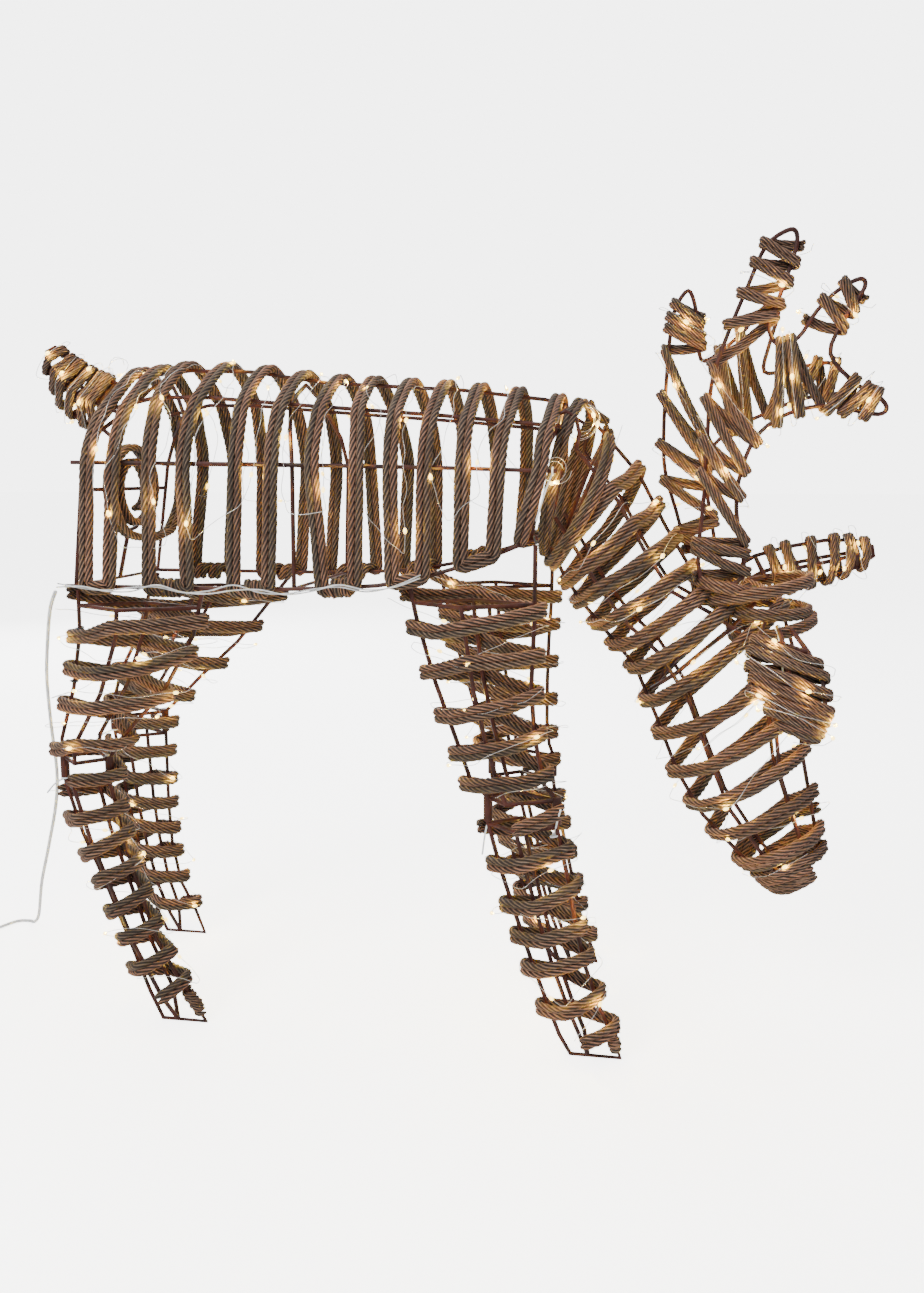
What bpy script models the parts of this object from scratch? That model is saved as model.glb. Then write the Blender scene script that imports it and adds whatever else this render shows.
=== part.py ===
"""Light-up grazing reindeer for the yard. Welded wire frames are wound with twisted wicker cord.
The four lower legs plug into sleeves under the upper legs. A string of small lights runs over the
figure, and a thin low-voltage lead goes from the rear of the belly to a plug transformer.
+X is forward (head end), -Y is the right side, +Z is up, and the feet stand on Z = 0."""

import math

import bmesh
import bpy
from mathutils import Vector

MID_LENGTH = 0.0401  # middle of the object's length in the layout below
MID_WIDTH = 0.0  # middle of the object's width in the layout below

WIRE_R = 0.0020  # frame wire, 4 mm thick
CORD_R = 0.0050  # wicker winding
THIN_CORD_R = 0.0038  # wicker winding on the tail, ears and antlers
LIGHT_WIRE_R = 0.0007  # light string wire
BULB_SWELL = 3.2  # a light is this many times the wire's radius
LEAD_R = 0.0017  # low-voltage lead
AIR = 0.0005  # clearance between neighbouring pieces
SHARP_BEND = 0.87  # a cord turning more than twice this at a wire gets two bends
REACH = WIRE_R + CORD_R + AIR  # cord centre to wire centre
THIN_REACH = WIRE_R + THIN_CORD_R + AIR
LIGHT_REACH = WIRE_R + 2.0 * CORD_R + 2.0 * BULB_SWELL * LIGHT_WIRE_R + 2.0 * AIR

WIRE_RING = 1  # bevel resolution of the frame wires
CORD_RING = 0  # bevel resolution of the cord and light strings
LEAD_RING = 2  # bevel resolution of the lead

# Body: a half barrel, open underneath. Rails are (x, z) lines at a fixed half width.
BELLY_Y = 0.088
MID_Y = 0.092
UPPER_Y = 0.060
RIDGE_LINE = (
    (-0.262, 0.590), (-0.200, 0.596), (-0.140, 0.594), (-0.067, 0.583), (0.058, 0.575),
    (0.132, 0.566), (0.150, 0.561),
)
UPPER_LINE = (
    (-0.248, 0.559), (-0.207, 0.568), (-0.157, 0.567), (-0.065, 0.559), (0.049, 0.550), (0.152, 0.540),
)
MID_LINE = ((-0.274, 0.511), (-0.100, 0.509), (0.054, 0.506), (0.152, 0.503))
BELLY_LINE = (
    (-0.288, 0.402), (-0.100, 0.402), (-0.040, 0.404), (0.000, 0.407), (0.038, 0.414),
    (0.091, 0.430), (0.136, 0.449),
)
# Hoops and arches of winding cross the rails at (foot x, middle x, crown x)
BODY_HOOPS = (
    ("rear", (-0.280, -0.266, -0.222)), ("middle", (-0.076, -0.074, -0.088)),
    ("front", (0.130, 0.139, 0.150)),
)
ARCHES = (
    (-0.265, -0.256, -0.248), (-0.243, -0.232, -0.225), (-0.204, -0.199, -0.200), (-0.171, -0.166, -0.160),
    (-0.126, -0.122, -0.123), (-0.094, -0.091, -0.089), (-0.048, -0.054, -0.051), (-0.017, -0.015, -0.020),
    (0.015, 0.015, 0.014), (0.040, 0.043, 0.043), (0.072, 0.074, 0.075), (0.099, 0.104, 0.110),
    (0.119, 0.136, 0.143),
)
RUMP_X = -0.2691  # the rump ring stands here in the rear hoop
RUMP_Z = 0.487
RUMP_SIZE = (0.044, 0.040)  # half width and half height
RUMP_BAR = 0.0866  # half length of the bar that holds the ring

# Neck and head: stations of (throat x, z), (nape x, z), half width
HEAD = (
    ((0.138, 0.436), (0.172, 0.550), 0.056),
    ((0.150, 0.412), (0.216, 0.500), 0.056),
    ((0.166, 0.388), (0.240, 0.455), 0.053),
    ((0.190, 0.360), (0.264, 0.416), 0.049),
    ((0.216, 0.330), (0.300, 0.402), 0.047),
    ((0.236, 0.284), (0.342, 0.384), 0.047),
    ((0.256, 0.234), (0.362, 0.322), 0.044),
    ((0.280, 0.194), (0.364, 0.260), 0.038),
    ((0.316, 0.157), (0.376, 0.202), 0.028),
    ((0.348, 0.131), (0.385, 0.157), 0.017),
)
HEAD_WIRES = (
    ("nape_wire", 0), ("cheek_wire_upper_left", 60), ("cheek_wire_lower_left", 120),
    ("throat_wire", 180), ("cheek_wire_lower_right", 240), ("cheek_wire_upper_right", 300),
)
HEAD_RINGS = (("neck_base_ring", 0.35), ("crown_ring", 4.5))
HEAD_TURNS = 13

HOOKS = {  # (x, y, z) of the hooks at the upper neck wires' tops
    "nape_wire": ((0.1575, 0.0, 0.5500), (0.1592, 0.0, 0.5585), (0.1655, 0.0, 0.5625),
                  (0.1705, 0.0, 0.5580)),
    "cheek_wire_upper_left": ((0.1415, 0.0485, 0.5400), (0.1440, 0.0485, 0.5490), (0.1540, 0.0485, 0.5530),
                              (0.1630, 0.0485, 0.5475), (0.1660, 0.0485, 0.5350)),
    "cheek_wire_upper_right": ((0.1415, -0.0485, 0.5400), (0.1440, -0.0485, 0.5490),
                               (0.1540, -0.0485, 0.5530), (0.1630, -0.0485, 0.5475),
                               (0.1660, -0.0485, 0.5350)),
}

# Tail and ears: stations of (lower x, y, z), (upper x, y, z), half thickness; the first is the root
TAIL = (
    ((-0.2745, 0.0, 0.5300), (-0.2640, 0.0, 0.5840), 0.004),
    ((-0.294, 0.0, 0.546), (-0.276, 0.0, 0.586), 0.017),
    ((-0.314, 0.0, 0.552), (-0.289, 0.0, 0.591), 0.017),
    ((-0.332, 0.0, 0.570), (-0.305, 0.0, 0.599), 0.014),
    ((-0.341, 0.0, 0.594), (-0.322, 0.0, 0.609), 0.009),
    ((-0.344, 0.0, 0.616), (-0.335, 0.0, 0.620), 0.004),
)
LEFT_EAR = (
    ((0.322, 0.044, 0.390), (0.310, 0.044, 0.420), 0.004),
    ((0.340, 0.062, 0.392), (0.322, 0.058, 0.426), 0.012),
    ((0.362, 0.070, 0.398), (0.350, 0.066, 0.434), 0.013),
    ((0.392, 0.080, 0.405), (0.386, 0.076, 0.440), 0.012),
    ((0.418, 0.088, 0.415), (0.414, 0.086, 0.440), 0.009),
    ((0.433, 0.092, 0.425), (0.431, 0.091, 0.434), 0.004),
)
RIGHT_EAR = (
    ((0.322, -0.060, 0.378), (0.344, -0.060, 0.374), 0.003),
    ((0.316, -0.080, 0.368), (0.356, -0.080, 0.358), 0.010),
    ((0.310, -0.092, 0.352), (0.367, -0.090, 0.336), 0.014),
    ((0.316, -0.103, 0.332), (0.369, -0.100, 0.313), 0.013),
    ((0.330, -0.110, 0.312), (0.362, -0.107, 0.299), 0.009),
    ((0.346, -0.114, 0.297), (0.355, -0.112, 0.292), 0.004),
)
SPINDLE_TURNS = {"tail": 6, "left_ear": 6, "right_ear": 7}

OUTLINE_STEPS = 4  # points on the smooth outline for each point below
FRONT_CLIMB = 0.15  # share of a turn's climb made behind an antler; the rest is in front
# Antlers: a flat closed wire outline each, and the cords' runs: (turns, one side's ends, other side's ends),
# where an end is a place along the outline counted in its points
RIGHT_ANTLER_Y = -0.034
RIGHT_ANTLER = (
    (0.270, 0.414), (0.271, 0.486), (0.272, 0.529), (0.274, 0.574), (0.283, 0.607), (0.301, 0.654),
    (0.314, 0.684), (0.332, 0.696), (0.338, 0.690), (0.335, 0.672), (0.325, 0.641), (0.318, 0.622),
    (0.326, 0.606), (0.342, 0.611), (0.356, 0.632), (0.371, 0.647), (0.388, 0.656), (0.392, 0.649),
    (0.379, 0.627), (0.368, 0.598), (0.390, 0.573), (0.404, 0.566), (0.414, 0.555), (0.408, 0.549),
    (0.385, 0.553), (0.361, 0.556), (0.332, 0.548), (0.311, 0.530), (0.300, 0.500), (0.298, 0.470),
    (0.305, 0.414),
)
RIGHT_TINES = {
    "stem": ((4, (0.4, 2.9), (29.6, 27.0)), (5, (3.6, 6.3), (11.0, 8.3))),
    "beam": ((2, (26.2, 25.4), (12.1, 12.7)), (3, (24.7, 23.4), (19.8, 21.1))),
    "fore": ((3, (13.6, 15.7), (18.4, 17.2)),),
}
LEFT_ANTLER_Y = 0.034
LEFT_ANTLER = (
    (0.262, 0.432), (0.249, 0.468), (0.238, 0.505), (0.236, 0.540), (0.237, 0.580), (0.239, 0.618),
    (0.243, 0.645), (0.254, 0.661), (0.261, 0.645), (0.264, 0.619), (0.270, 0.600), (0.300, 0.622),
    (0.314, 0.640), (0.325, 0.648), (0.332, 0.640), (0.326, 0.616), (0.322, 0.590), (0.345, 0.592),
    (0.375, 0.597), (0.387, 0.590), (0.395, 0.580), (0.386, 0.571), (0.354, 0.566), (0.320, 0.552),
    (0.296, 0.540), (0.277, 0.520), (0.276, 0.485), (0.284, 0.432),
)
LEFT_TINES = {
    "stem": ((4, (0.5, 4.0), (26.5, 24.9)), (4, (4.8, 6.3), (9.3, 8.1))),
    "beam": ((2, (24.0, 23.3), (10.4, 11.0)), (3, (22.8, 21.2), (16.6, 18.6))),
}

# Legs: stations of height, rear wire x, front wire x, then the foot's heel and toe
LEGS = {
    "right_front": {
        "side": -1, "top": (0.4070, 0.4430), "knee": 0.204, "heel": 0.170, "toe": 0.213, "turns": (6, 6),
        "line": ((0.425, 0.024, 0.134), (0.382, 0.033, 0.134), (0.325, 0.050, 0.132), (0.282, 0.066, 0.135),
                 (0.243, 0.080, 0.143), (0.204, 0.096, 0.155), (0.165, 0.107, 0.164), (0.126, 0.120, 0.171),
                 (0.086, 0.134, 0.180), (0.046, 0.149, 0.194), (0.018, 0.160, 0.207)),
    },
    "left_front": {
        "side": 1, "top": (0.4062, 0.4425), "knee": 0.196, "heel": 0.139, "toe": 0.182, "turns": (6, 6),
        "line": ((0.420, 0.016, 0.132), (0.374, 0.026, 0.131), (0.337, 0.034, 0.129), (0.297, 0.046, 0.128),
                 (0.256, 0.058, 0.128), (0.215, 0.067, 0.132), (0.173, 0.078, 0.138), (0.132, 0.089, 0.147),
                 (0.090, 0.101, 0.156), (0.053, 0.113, 0.164), (0.021, 0.126, 0.175)),
    },
    "right_hind": {
        "side": -1, "top": (0.3985, 0.3985), "knee": 0.222, "heel": -0.208, "toe": -0.166, "turns": (5, 7),
        "line": ((0.400, -0.276, -0.158), (0.360, -0.276, -0.168), (0.310, -0.284, -0.197),
                 (0.262, -0.298, -0.242),
                 (0.222, -0.296, -0.252), (0.174, -0.281, -0.242), (0.132, -0.262, -0.230),
                 (0.075, -0.239, -0.212),
                 (0.026, -0.220, -0.182)),
    },
    "left_hind": {
        "side": 1, "top": (0.3985, 0.3985), "knee": 0.226, "heel": -0.292, "toe": -0.248, "turns": (5, 7),
        "line": ((0.400, -0.281, -0.136), (0.374, -0.294, -0.158), (0.328, -0.310, -0.197),
                 (0.292, -0.330, -0.237),
                 (0.256, -0.341, -0.274), (0.226, -0.341, -0.282), (0.149, -0.330, -0.283),
                 (0.104, -0.321, -0.281),
                 (0.059, -0.311, -0.273), (0.026, -0.303, -0.257)),
    },
}
FOUR_WIRES = ((-1, 0), (0, -1), (1, 0), (0, 1))  # rear, inner, front and outer wires of a limb
LEG_LEAN = 0.45  # the side wires stand at this share of the way from rear to front
SLEEVE_R = 0.0040
SLEEVE_LENGTH = 0.0240
BORE_R = 0.0028
BORE_DEPTH = 0.0180
SOLE_Z = 0.0012  # centre height of the sole wire, whose underside is ground flat

# Lead, coil and transformer
LEAD_DROP = (
    (-0.291, -0.100, 0.398), (-0.302, -0.092, 0.380), (-0.320, -0.070, 0.340), (-0.329, -0.058, 0.308),
    (-0.332, -0.050, 0.264), (-0.330, -0.048, 0.220), (-0.334, -0.046, 0.186), (-0.354, -0.030, 0.136),
    (-0.376, -0.010, 0.090), (-0.412, 0.040, 0.034), (-0.440, 0.076, 0.008), (-0.455, 0.090, 0.0022),
    (-0.468, 0.086, 0.0022), (-0.478, 0.066, 0.0022), (-0.486, 0.046, 0.0022),
)
LEAD_END = (
    (-0.519, -0.0125, 0.0022), (-0.545, -0.0185, 0.0022), (-0.571, -0.0180, 0.0022),
    (-0.590, -0.0155, 0.0058),
    (-0.604, -0.0142, 0.0122), (-0.616, -0.0140, 0.0150), (-0.6285, -0.0140, 0.0150),
)
LEAD_STEP = 0.0085  # the lead has a point at each of these lengths
COIL_CENTRE = (-0.532, 0.030)
COIL_RADIUS = 0.0300
COIL_THICK = 0.0100
HOUSING = (0.062, 0.044, 0.034)
HOUSING_MIDDLE = (-0.662, -0.014, 0.0175)
RELIEF_R = 0.0042
RELIEF_LENGTH = 0.0120
PIN_R = 0.0020
PIN_LENGTH = 0.0190
PIN_SPREAD = 0.0095


def clear_scene():
    for obj in list(bpy.data.objects):
        bpy.data.objects.remove(obj)


clear_scene()
PARTS = bpy.data.collections.new("wicker_reindeer")
CUTTERS = bpy.data.collections.new("cutters")
for group in (PARTS, CUTTERS):
    bpy.context.scene.collection.children.link(group)

LOOKS = {
    "wire": ((0.075, 0.022, 0.014), 0.35, 0.45, 0.0),
    "cord": ((0.200, 0.110, 0.065), 0.0, 0.80, 0.0),
    "lights": ((0.900, 0.780, 0.480), 0.30, 0.35, 0.6),
    "lead": ((0.700, 0.710, 0.720), 0.10, 0.30, 0.0),
    "housing": ((0.020, 0.020, 0.022), 0.0, 0.50, 0.0),
    "pin": ((0.720, 0.700, 0.640), 1.0, 0.25, 0.0),
}


def place(x, y, z):
    return Vector((x - MID_LENGTH, y - MID_WIDTH, z))


def material(name, look):
    colour, metal, rough, glow = LOOKS[look]
    made = bpy.data.materials.new(name)
    made.use_nodes = True
    shader = made.node_tree.nodes["Principled BSDF"]
    shader.inputs["Base Color"].default_value = (*colour, 1.0)
    shader.inputs["Metallic"].default_value = metal
    shader.inputs["Roughness"].default_value = rough
    shader.inputs["Emission Color"].default_value = (*colour, 1.0)
    shader.inputs["Emission Strength"].default_value = glow
    return made


def finish_object(name, mesh, look, group):
    mesh.materials.clear()
    mesh.materials.append(material(name, look))
    mesh.shade_smooth()
    mesh.set_sharp_from_angle(angle=math.radians(50))
    made = bpy.data.objects.new(name, mesh)
    group.objects.link(made)
    if group is CUTTERS:
        made.hide_render = True
        made.display_type = "WIRE"
    return made


def tube(name, points, radius, look, ring=WIRE_RING, cyclic=False, swell=None, group=None):
    """A solid rod of round section along a line of points."""
    curve = bpy.data.curves.new(name, "CURVE")
    curve.dimensions = "3D"
    curve.bevel_depth = radius
    curve.bevel_resolution = ring
    curve.use_fill_caps = not cyclic
    spline = curve.splines.new("POLY")
    spline.points.add(len(points) - 1)
    for index, point in enumerate(points):
        spline.points[index].co = (*point, 1.0)
        spline.points[index].radius = swell[index] if swell else 1.0
    spline.use_cyclic_u = cyclic
    line = bpy.data.objects.new(name, curve)
    PARTS.objects.link(line)
    bpy.context.view_layer.update()
    mesh = bpy.data.meshes.new_from_object(line.evaluated_get(bpy.context.evaluated_depsgraph_get()))
    bpy.data.objects.remove(line)
    bpy.data.curves.remove(curve)
    solid = bmesh.new()
    solid.from_mesh(mesh)
    bmesh.ops.remove_doubles(solid, verts=solid.verts, dist=0.00001)
    bmesh.ops.recalc_face_normals(solid, faces=solid.faces)
    solid.to_mesh(mesh)
    solid.free()
    return finish_object(name, mesh, look, group or PARTS)


def rod(name, middle, radius, length, sides, axis, look, group=None):
    """An upright or forward cylinder centred on a point."""
    solid = bmesh.new()
    bmesh.ops.create_cone(
        solid, cap_ends=True, segments=sides, radius1=radius, radius2=radius, depth=length,
    )
    bmesh.ops.recalc_face_normals(solid, faces=solid.faces)
    mesh = bpy.data.meshes.new(name)
    if axis == "X":
        bmesh.ops.rotate(solid, verts=solid.verts, matrix=Vector((0, 0, 1)).rotation_difference(
            Vector((1, 0, 0))).to_matrix())
    bmesh.ops.translate(solid, verts=solid.verts, vec=middle)
    solid.to_mesh(mesh)
    solid.free()
    return finish_object(name, mesh, look, group or PARTS)


def block(name, low, high, look, group=None):
    """A plain box between two corners."""
    solid = bmesh.new()
    bmesh.ops.create_cube(solid, size=1.0)
    size = high - low
    bmesh.ops.scale(solid, verts=solid.verts, vec=size)
    bmesh.ops.translate(solid, verts=solid.verts, vec=(low + high) / 2.0)
    mesh = bpy.data.meshes.new(name)
    solid.to_mesh(mesh)
    solid.free()
    return finish_object(name, mesh, look, group or PARTS)


def join(base, other, operation):
    step = base.modifiers.new(other.name, "BOOLEAN")
    step.operation = operation
    step.solver = "EXACT"
    step.object = other


def weld(name, base, others, cuts=()):
    """Welds rods into one body, then cuts the bores and ground flats."""
    for other in others:
        join(base, other, "UNION")
    for cut in cuts:
        join(base, cut, "DIFFERENCE")
    base.name = name
    return base


def height_on(line, x):
    """Height of a rail line at a place along the body."""
    for (x0, z0), (x1, z1) in zip(line, line[1:]):
        if x <= x1:
            return z0 + (z1 - z0) * (x - x0) / (x1 - x0)
    (x0, z0), (x1, z1) = line[-2:]
    return z0 + (z1 - z0) * (x - x0) / (x1 - x0)


def blend(stations, s):
    """The station at a whole or part step along a list of stations."""
    low = max(0, min(int(s), len(stations) - 2))
    share = s - low
    here, ahead = stations[low], stations[low + 1]
    return tuple(a * (1.0 - share) + b * share for a, b in zip(here, ahead))


def smooth_line(points, steps, closed=False):
    """A smooth line through points, with the same number of steps between each two."""
    count = len(points)
    line = []
    for index in range(count if closed else count - 1):
        near = [index - 1, index, index + 1, index + 2]
        near = [i % count if closed else min(max(i, 0), count - 1) for i in near]
        a, b, c, d = (points[i] for i in near)
        for step in range(steps):
            t = step / steps
            square = (2.0 * a - 5.0 * b + 4.0 * c - d) * t * t
            cube = (3.0 * b - a - 3.0 * c + d) * t * t * t
            line.append((2.0 * b + (c - a) * t + square + cube) / 2.0)
    if not closed:
        line.append(points[-1])
    return line


def even_line(points, gap):
    """The same smooth line with its points about equally far apart."""
    fine = smooth_line([place(*point) for point in points], 24)
    total = sum((b - a).length for a, b in zip(fine, fine[1:]))
    count = max(2, round(total / gap))
    line = [fine[0]]
    carried = 0.0
    for a, b in zip(fine, fine[1:]):
        carried += (b - a).length
        if carried >= total * len(line) / count and len(line) < count:
            line.append(b)
    line.append(fine[-1])
    return line


def cage_point(stations, s, u, v):
    """A point of a cage's section: u goes from one edge to the other and v to the side."""
    one, other, wide = blend(stations, s)
    half = (other - one) / 2.0
    side = Vector((0.0, 1.0, 0.0))
    side = (side - half * side.dot(half) / half.length_squared).normalized()
    return (one + other) / 2.0 + half * u + side * (wide * v)


def faces_at(point_at, corners, index, s):
    """At a corner wire: its point, the two directions of a cord passing it, and their outward normals."""
    here = point_at(s, corners[index])
    after = (point_at(s, corners[(index + 1) % len(corners)]) - here).normalized()
    before = (here - point_at(s, corners[index - 1])).normalized()
    along = (point_at(s + 0.03, corners[index]) - point_at(s - 0.03, corners[index])).normalized()
    normal_after = along.cross(after).normalized()
    normal_before = along.cross(before).normalized()
    centre = sum((point_at(s, corner) for corner in corners), Vector()) / len(corners)
    if (normal_after + normal_before).dot(here - centre) < -0.0001:
        normal_after = -normal_after
        normal_before = -normal_before
    before /= max(0.35, along.cross(before).length)
    after /= max(0.35, along.cross(after).length)
    return here, before, after, normal_before, normal_after


def past_corner(point_at, corners, index, s, reach):
    """Where a cord passes a wire at a fixed distance: one point, or two where it turns sharply."""
    here, before, after, normal_before, normal_after = faces_at(point_at, corners, index, s)
    both = normal_before + normal_after
    bend = math.acos(min(1.0, both.length / 2.0))
    if bend < SHARP_BEND:
        return [here + both.normalized() * (reach / math.cos(bend))]
    slip = reach * math.tan(bend / 2.0)
    return [here + normal_before * reach + before * slip, here + normal_after * reach - after * slip]


def wound(point_at, corners, turns, start, end, reach=REACH, second=None):
    """A cord's line: it climbs the wires while it goes round them from corner to corner."""
    sides = len(corners)
    shares = [index / sides for index in range(sides)]
    if second is not None:
        shares[1] = second
    points = []
    for turn in range(turns):
        for index, share in enumerate(shares):
            s = start + (end - start) * (turn + share) / (turns - 1 + shares[-1])
            points.extend(past_corner(point_at, corners, index, s, reach))
    return points


def inner_ring(point_at, corners, s):
    """A ring that lies against the inside of a cage's wires."""
    points = []
    for index in range(len(corners)):
        here, _b, _a, normal_before, normal_after = faces_at(point_at, corners, index, s)
        both = normal_before + normal_after
        points.append(here - both.normalized() * (2.0 * WIRE_R + AIR) * 2.0 / both.length)
    return points


def cage_wires(stations):
    def point_at(s, corner):
        return cage_point(stations, s, *corner)
    return point_at


def along_outline(points, place_on):
    low = int(place_on)
    return points[low].lerp(points[(low + 1) % len(points)], place_on - low)


def solid_stations(stations):
    """Turns written stations into placed points and a width."""
    placed = []
    for one, other, wide in stations:
        if len(one) == 2:
            one = (one[0], 0.0, one[1])
            other = (other[0], 0.0, other[1])
        placed.append((place(*one), place(*other), wide))
    return placed


def light_string(name, points, spacing):
    """A thin wire with a small light swelling at each spacing along it."""
    line = [points[0]]
    swell = [1.0]
    carried = spacing / 2.0
    half = 0.0022
    for a, b in zip(points, points[1:]):
        length = (b - a).length
        way = (b - a).normalized()
        while carried + 2.0 * half < length:
            for offset, size in ((-half, 1.0), (0.0, BULB_SWELL), (half, 1.0)):
                line.append(a + way * (carried + offset))
                swell.append(size)
            carried += spacing
        carried = max(carried - length, 2.0 * half)
        line.append(b)
        swell.append(1.0)
    return tube(name, line, LIGHT_WIRE_R, "lights", ring=CORD_RING, swell=swell)


def body_frame():
    tube("ridge_wire", [place(x, 0.0, z) for x, z in RIDGE_LINE], WIRE_R, "wire")
    for side, y in (("right", -1.0), ("left", 1.0)):
        tube(f"upper_rail_{side}", [place(x, y * UPPER_Y, z) for x, z in UPPER_LINE], WIRE_R, "wire")
        tube(f"mid_rail_{side}", [place(x, y * MID_Y, z) for x, z in MID_LINE], WIRE_R, "wire")
        tube(f"belly_rail_{side}", [place(x, y * BELLY_Y, z) for x, z in BELLY_LINE], WIRE_R, "wire")
    hoops = {}
    for name, places in BODY_HOOPS:
        line = body_section(*places, -2.0 * WIRE_R - AIR)
        hoops[name] = tube(f"body_hoop_{name}", line, WIRE_R, "wire", cyclic=True)
    weld("body_hoop_rear", hoops["rear"], rump_ring())


def rump_ring():
    """An oval ring in the rear hoop, with the bar and the post that hold it."""
    wide, high = RUMP_SIZE
    ring = []
    for step in range(16):
        turn = math.radians(22.5 * step)
        ring.append(place(RUMP_X, wide * math.sin(turn), RUMP_Z - high * math.cos(turn)))
    bar = [place(RUMP_X, -RUMP_BAR, RUMP_Z), place(RUMP_X, RUMP_BAR, RUMP_Z)]
    foot = BODY_HOOPS[0][1][0]
    post = [place(RUMP_X, 0.0, RUMP_Z - high), place(foot, 0.0, height_on(BELLY_LINE, foot))]
    return [
        tube("rump_ring", ring, WIRE_R, "wire", cyclic=True, group=CUTTERS),
        tube("rump_bar", bar, WIRE_R, "wire", group=CUTTERS),
        tube("rump_post", post, WIRE_R, "wire", group=CUTTERS),
    ]


def body_section(foot, middle, crown, reach):
    """The body's arch from the right belly rail over the ridge to the left one."""
    shoulder = middle + 0.75 * (crown - middle)
    belly_z = height_on(BELLY_LINE, foot)
    middle_z = height_on(MID_LINE, middle)
    upper_z = height_on(UPPER_LINE, shoulder)
    ridge_z = height_on(RIDGE_LINE, crown)
    half = (
        (foot, BELLY_Y + reach, belly_z),
        (middle, MID_Y + reach, middle_z),
        (0.6 * middle + 0.4 * shoulder, 0.5 * (MID_Y + UPPER_Y) + 0.7 * reach + 0.005,
         0.5 * (middle_z + upper_z) + 0.5 * reach + 0.004),
        (shoulder, UPPER_Y + 0.75 * reach, upper_z + 0.75 * reach),
        (0.5 * (shoulder + crown), 0.5 * UPPER_Y, 0.5 * (upper_z + ridge_z) + reach + 0.003),
    )
    right = [place(x, -y, z) for x, y, z in half]
    left = [place(x, y, z) for x, y, z in reversed(half)]
    return [*right, place(crown, 0.0, ridge_z + reach), *left]


def rump_loops():
    """The cord's first two turns, on the rump ring's front, and its way out over the left belly rail."""
    x = RUMP_X + 1.15 * REACH
    line = []
    for step in range(17):
        turn = math.pi * step / 4.0
        wide = 0.022 + 0.015 * step / 8.0
        high = 0.019 + 0.0135 * step / 8.0
        line.append(place(x, wide * math.sin(turn), RUMP_Z - high * math.cos(turn)))
    line.append(place(x + 0.002, 0.070, RUMP_Z - 0.043))
    line.append(place(x - 0.001, BELLY_Y + 0.010, RUMP_Z - 0.036))
    return line


def body_wicker():
    """One long cord: two turns on the rump, then over the back and along the belly rails, to and fro."""
    line = rump_loops()
    for index, places in enumerate(ARCHES):
        arch = body_section(*places, 1.16 * REACH)
        if index % 2 == 0:
            arch.reverse()
        line.extend(arch[1:] if index == 0 else arch)
    tube("body_wicker", line, CORD_R, "cord", ring=CORD_RING)


def body_and_head_lights():
    """One string: back along the ridge, round the rump, along the right flank, then down the neck."""
    reach = LIGHT_REACH + 0.002
    line = [place(x, 0.0, z + reach) for x, z in reversed(RIDGE_LINE[1:-1])]
    line.append(place(-0.225, -0.045, 0.594 + reach))
    line.append(place(-0.245, -0.086, 0.580))
    line.extend(place(x, -MID_Y - reach, z) for x, z in MID_LINE[:-1])
    line.append(place(0.152, -MID_Y - reach, 0.498))
    stations = solid_stations(HEAD)
    out = Vector((0.0, -1.16 * LIGHT_REACH, 0.0))
    line.extend(cage_point(stations, s, 0.0, -1.0) + out for s in range(2, len(HEAD)))
    light_string("body_and_head_light_string", line, 0.055)


def head_and_neck():
    stations = solid_stations(HEAD)
    last = len(HEAD) - 1
    corners = [(math.cos(math.radians(angle)), math.sin(math.radians(angle))) for _name, angle in HEAD_WIRES]
    wires = cage_wires(stations)
    for (name, _angle), corner in zip(HEAD_WIRES, corners):
        line = [place(*point) for point in HOOKS.get(name, ())]
        tube(name, line + [wires(s, corner) for s in range(last + 1)], WIRE_R, "wire")
    for name, s in HEAD_RINGS:
        tube(name, inner_ring(wires, corners, s), WIRE_R, "wire", cyclic=True)
    cord = wound(wires, corners, HEAD_TURNS, 0.25, last - 0.1)
    tube("neck_and_head_wicker", cord, CORD_R, "cord", ring=CORD_RING)


def spindle(name, stations, turns):
    """Four wires that run together at the tip, welded to a ring, with the cord wound round them."""
    placed = solid_stations(stations)
    last = len(placed) - 1
    outline = [cage_point(placed, s, -1, 0) for s in range(last + 1)]
    outline += [cage_point(placed, s, 1, 0) for s in range(last, -1, -1)]
    across = [cage_point(placed, s, 0, -1) for s in range(last)]
    across += [cage_point(placed, s, 0, 1) for s in range(last - 1, -1, -1)]
    base = tube(f"{name}_frame", outline, WIRE_R, "wire")
    side = tube(f"{name}_side_wires", across, WIRE_R, "wire", group=CUTTERS)
    corners = FOUR_WIRES
    ring = [cage_point(placed, 1.0, u, v) for u, v in corners]
    hoop = tube(f"{name}_ring", ring, WIRE_R, "wire", cyclic=True, group=CUTTERS)
    others = [side, hoop]
    bridge = [cage_point(placed, last - 1, 0, -1), cage_point(placed, last - 1, 0, 1)]
    others.append(tube(f"{name}_bridge", [cage_point(placed, last - 1, -1, 0), *bridge[:1],
                                          cage_point(placed, last - 1, 1, 0), *bridge[1:]],
                       WIRE_R, "wire", cyclic=True, group=CUTTERS))
    weld(f"{name}_frame", base, others)
    cord = wound(cage_wires(placed), corners, turns, 1.25, last - 0.4, THIN_REACH)
    tube(f"{name}_wicker", cord, THIN_CORD_R, "cord", ring=CORD_RING)


def antler(name, outline, tines, y):
    """A flat bent wire with cords wound round every tine's two sides."""
    wire = smooth_line([place(x, y, z) for x, z in outline], OUTLINE_STEPS, closed=True)
    tube(f"{name}_frame", wire, WIRE_R, "wire", cyclic=True)
    for tine, runs in tines.items():
        line = []
        for turns, one, other in runs:
            def point_at(s, corner, one=one, other=other):
                low, high = other if corner else one
                return along_outline(wire, (low + (high - low) * s) * OUTLINE_STEPS)
            line.extend(wound(point_at, (0, 1), turns, 0.04, 0.96, THIN_REACH, FRONT_CLIMB))
        tube(f"{name}_{tine}_wicker", line, THIN_CORD_R, "cord", ring=CORD_RING)


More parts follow.
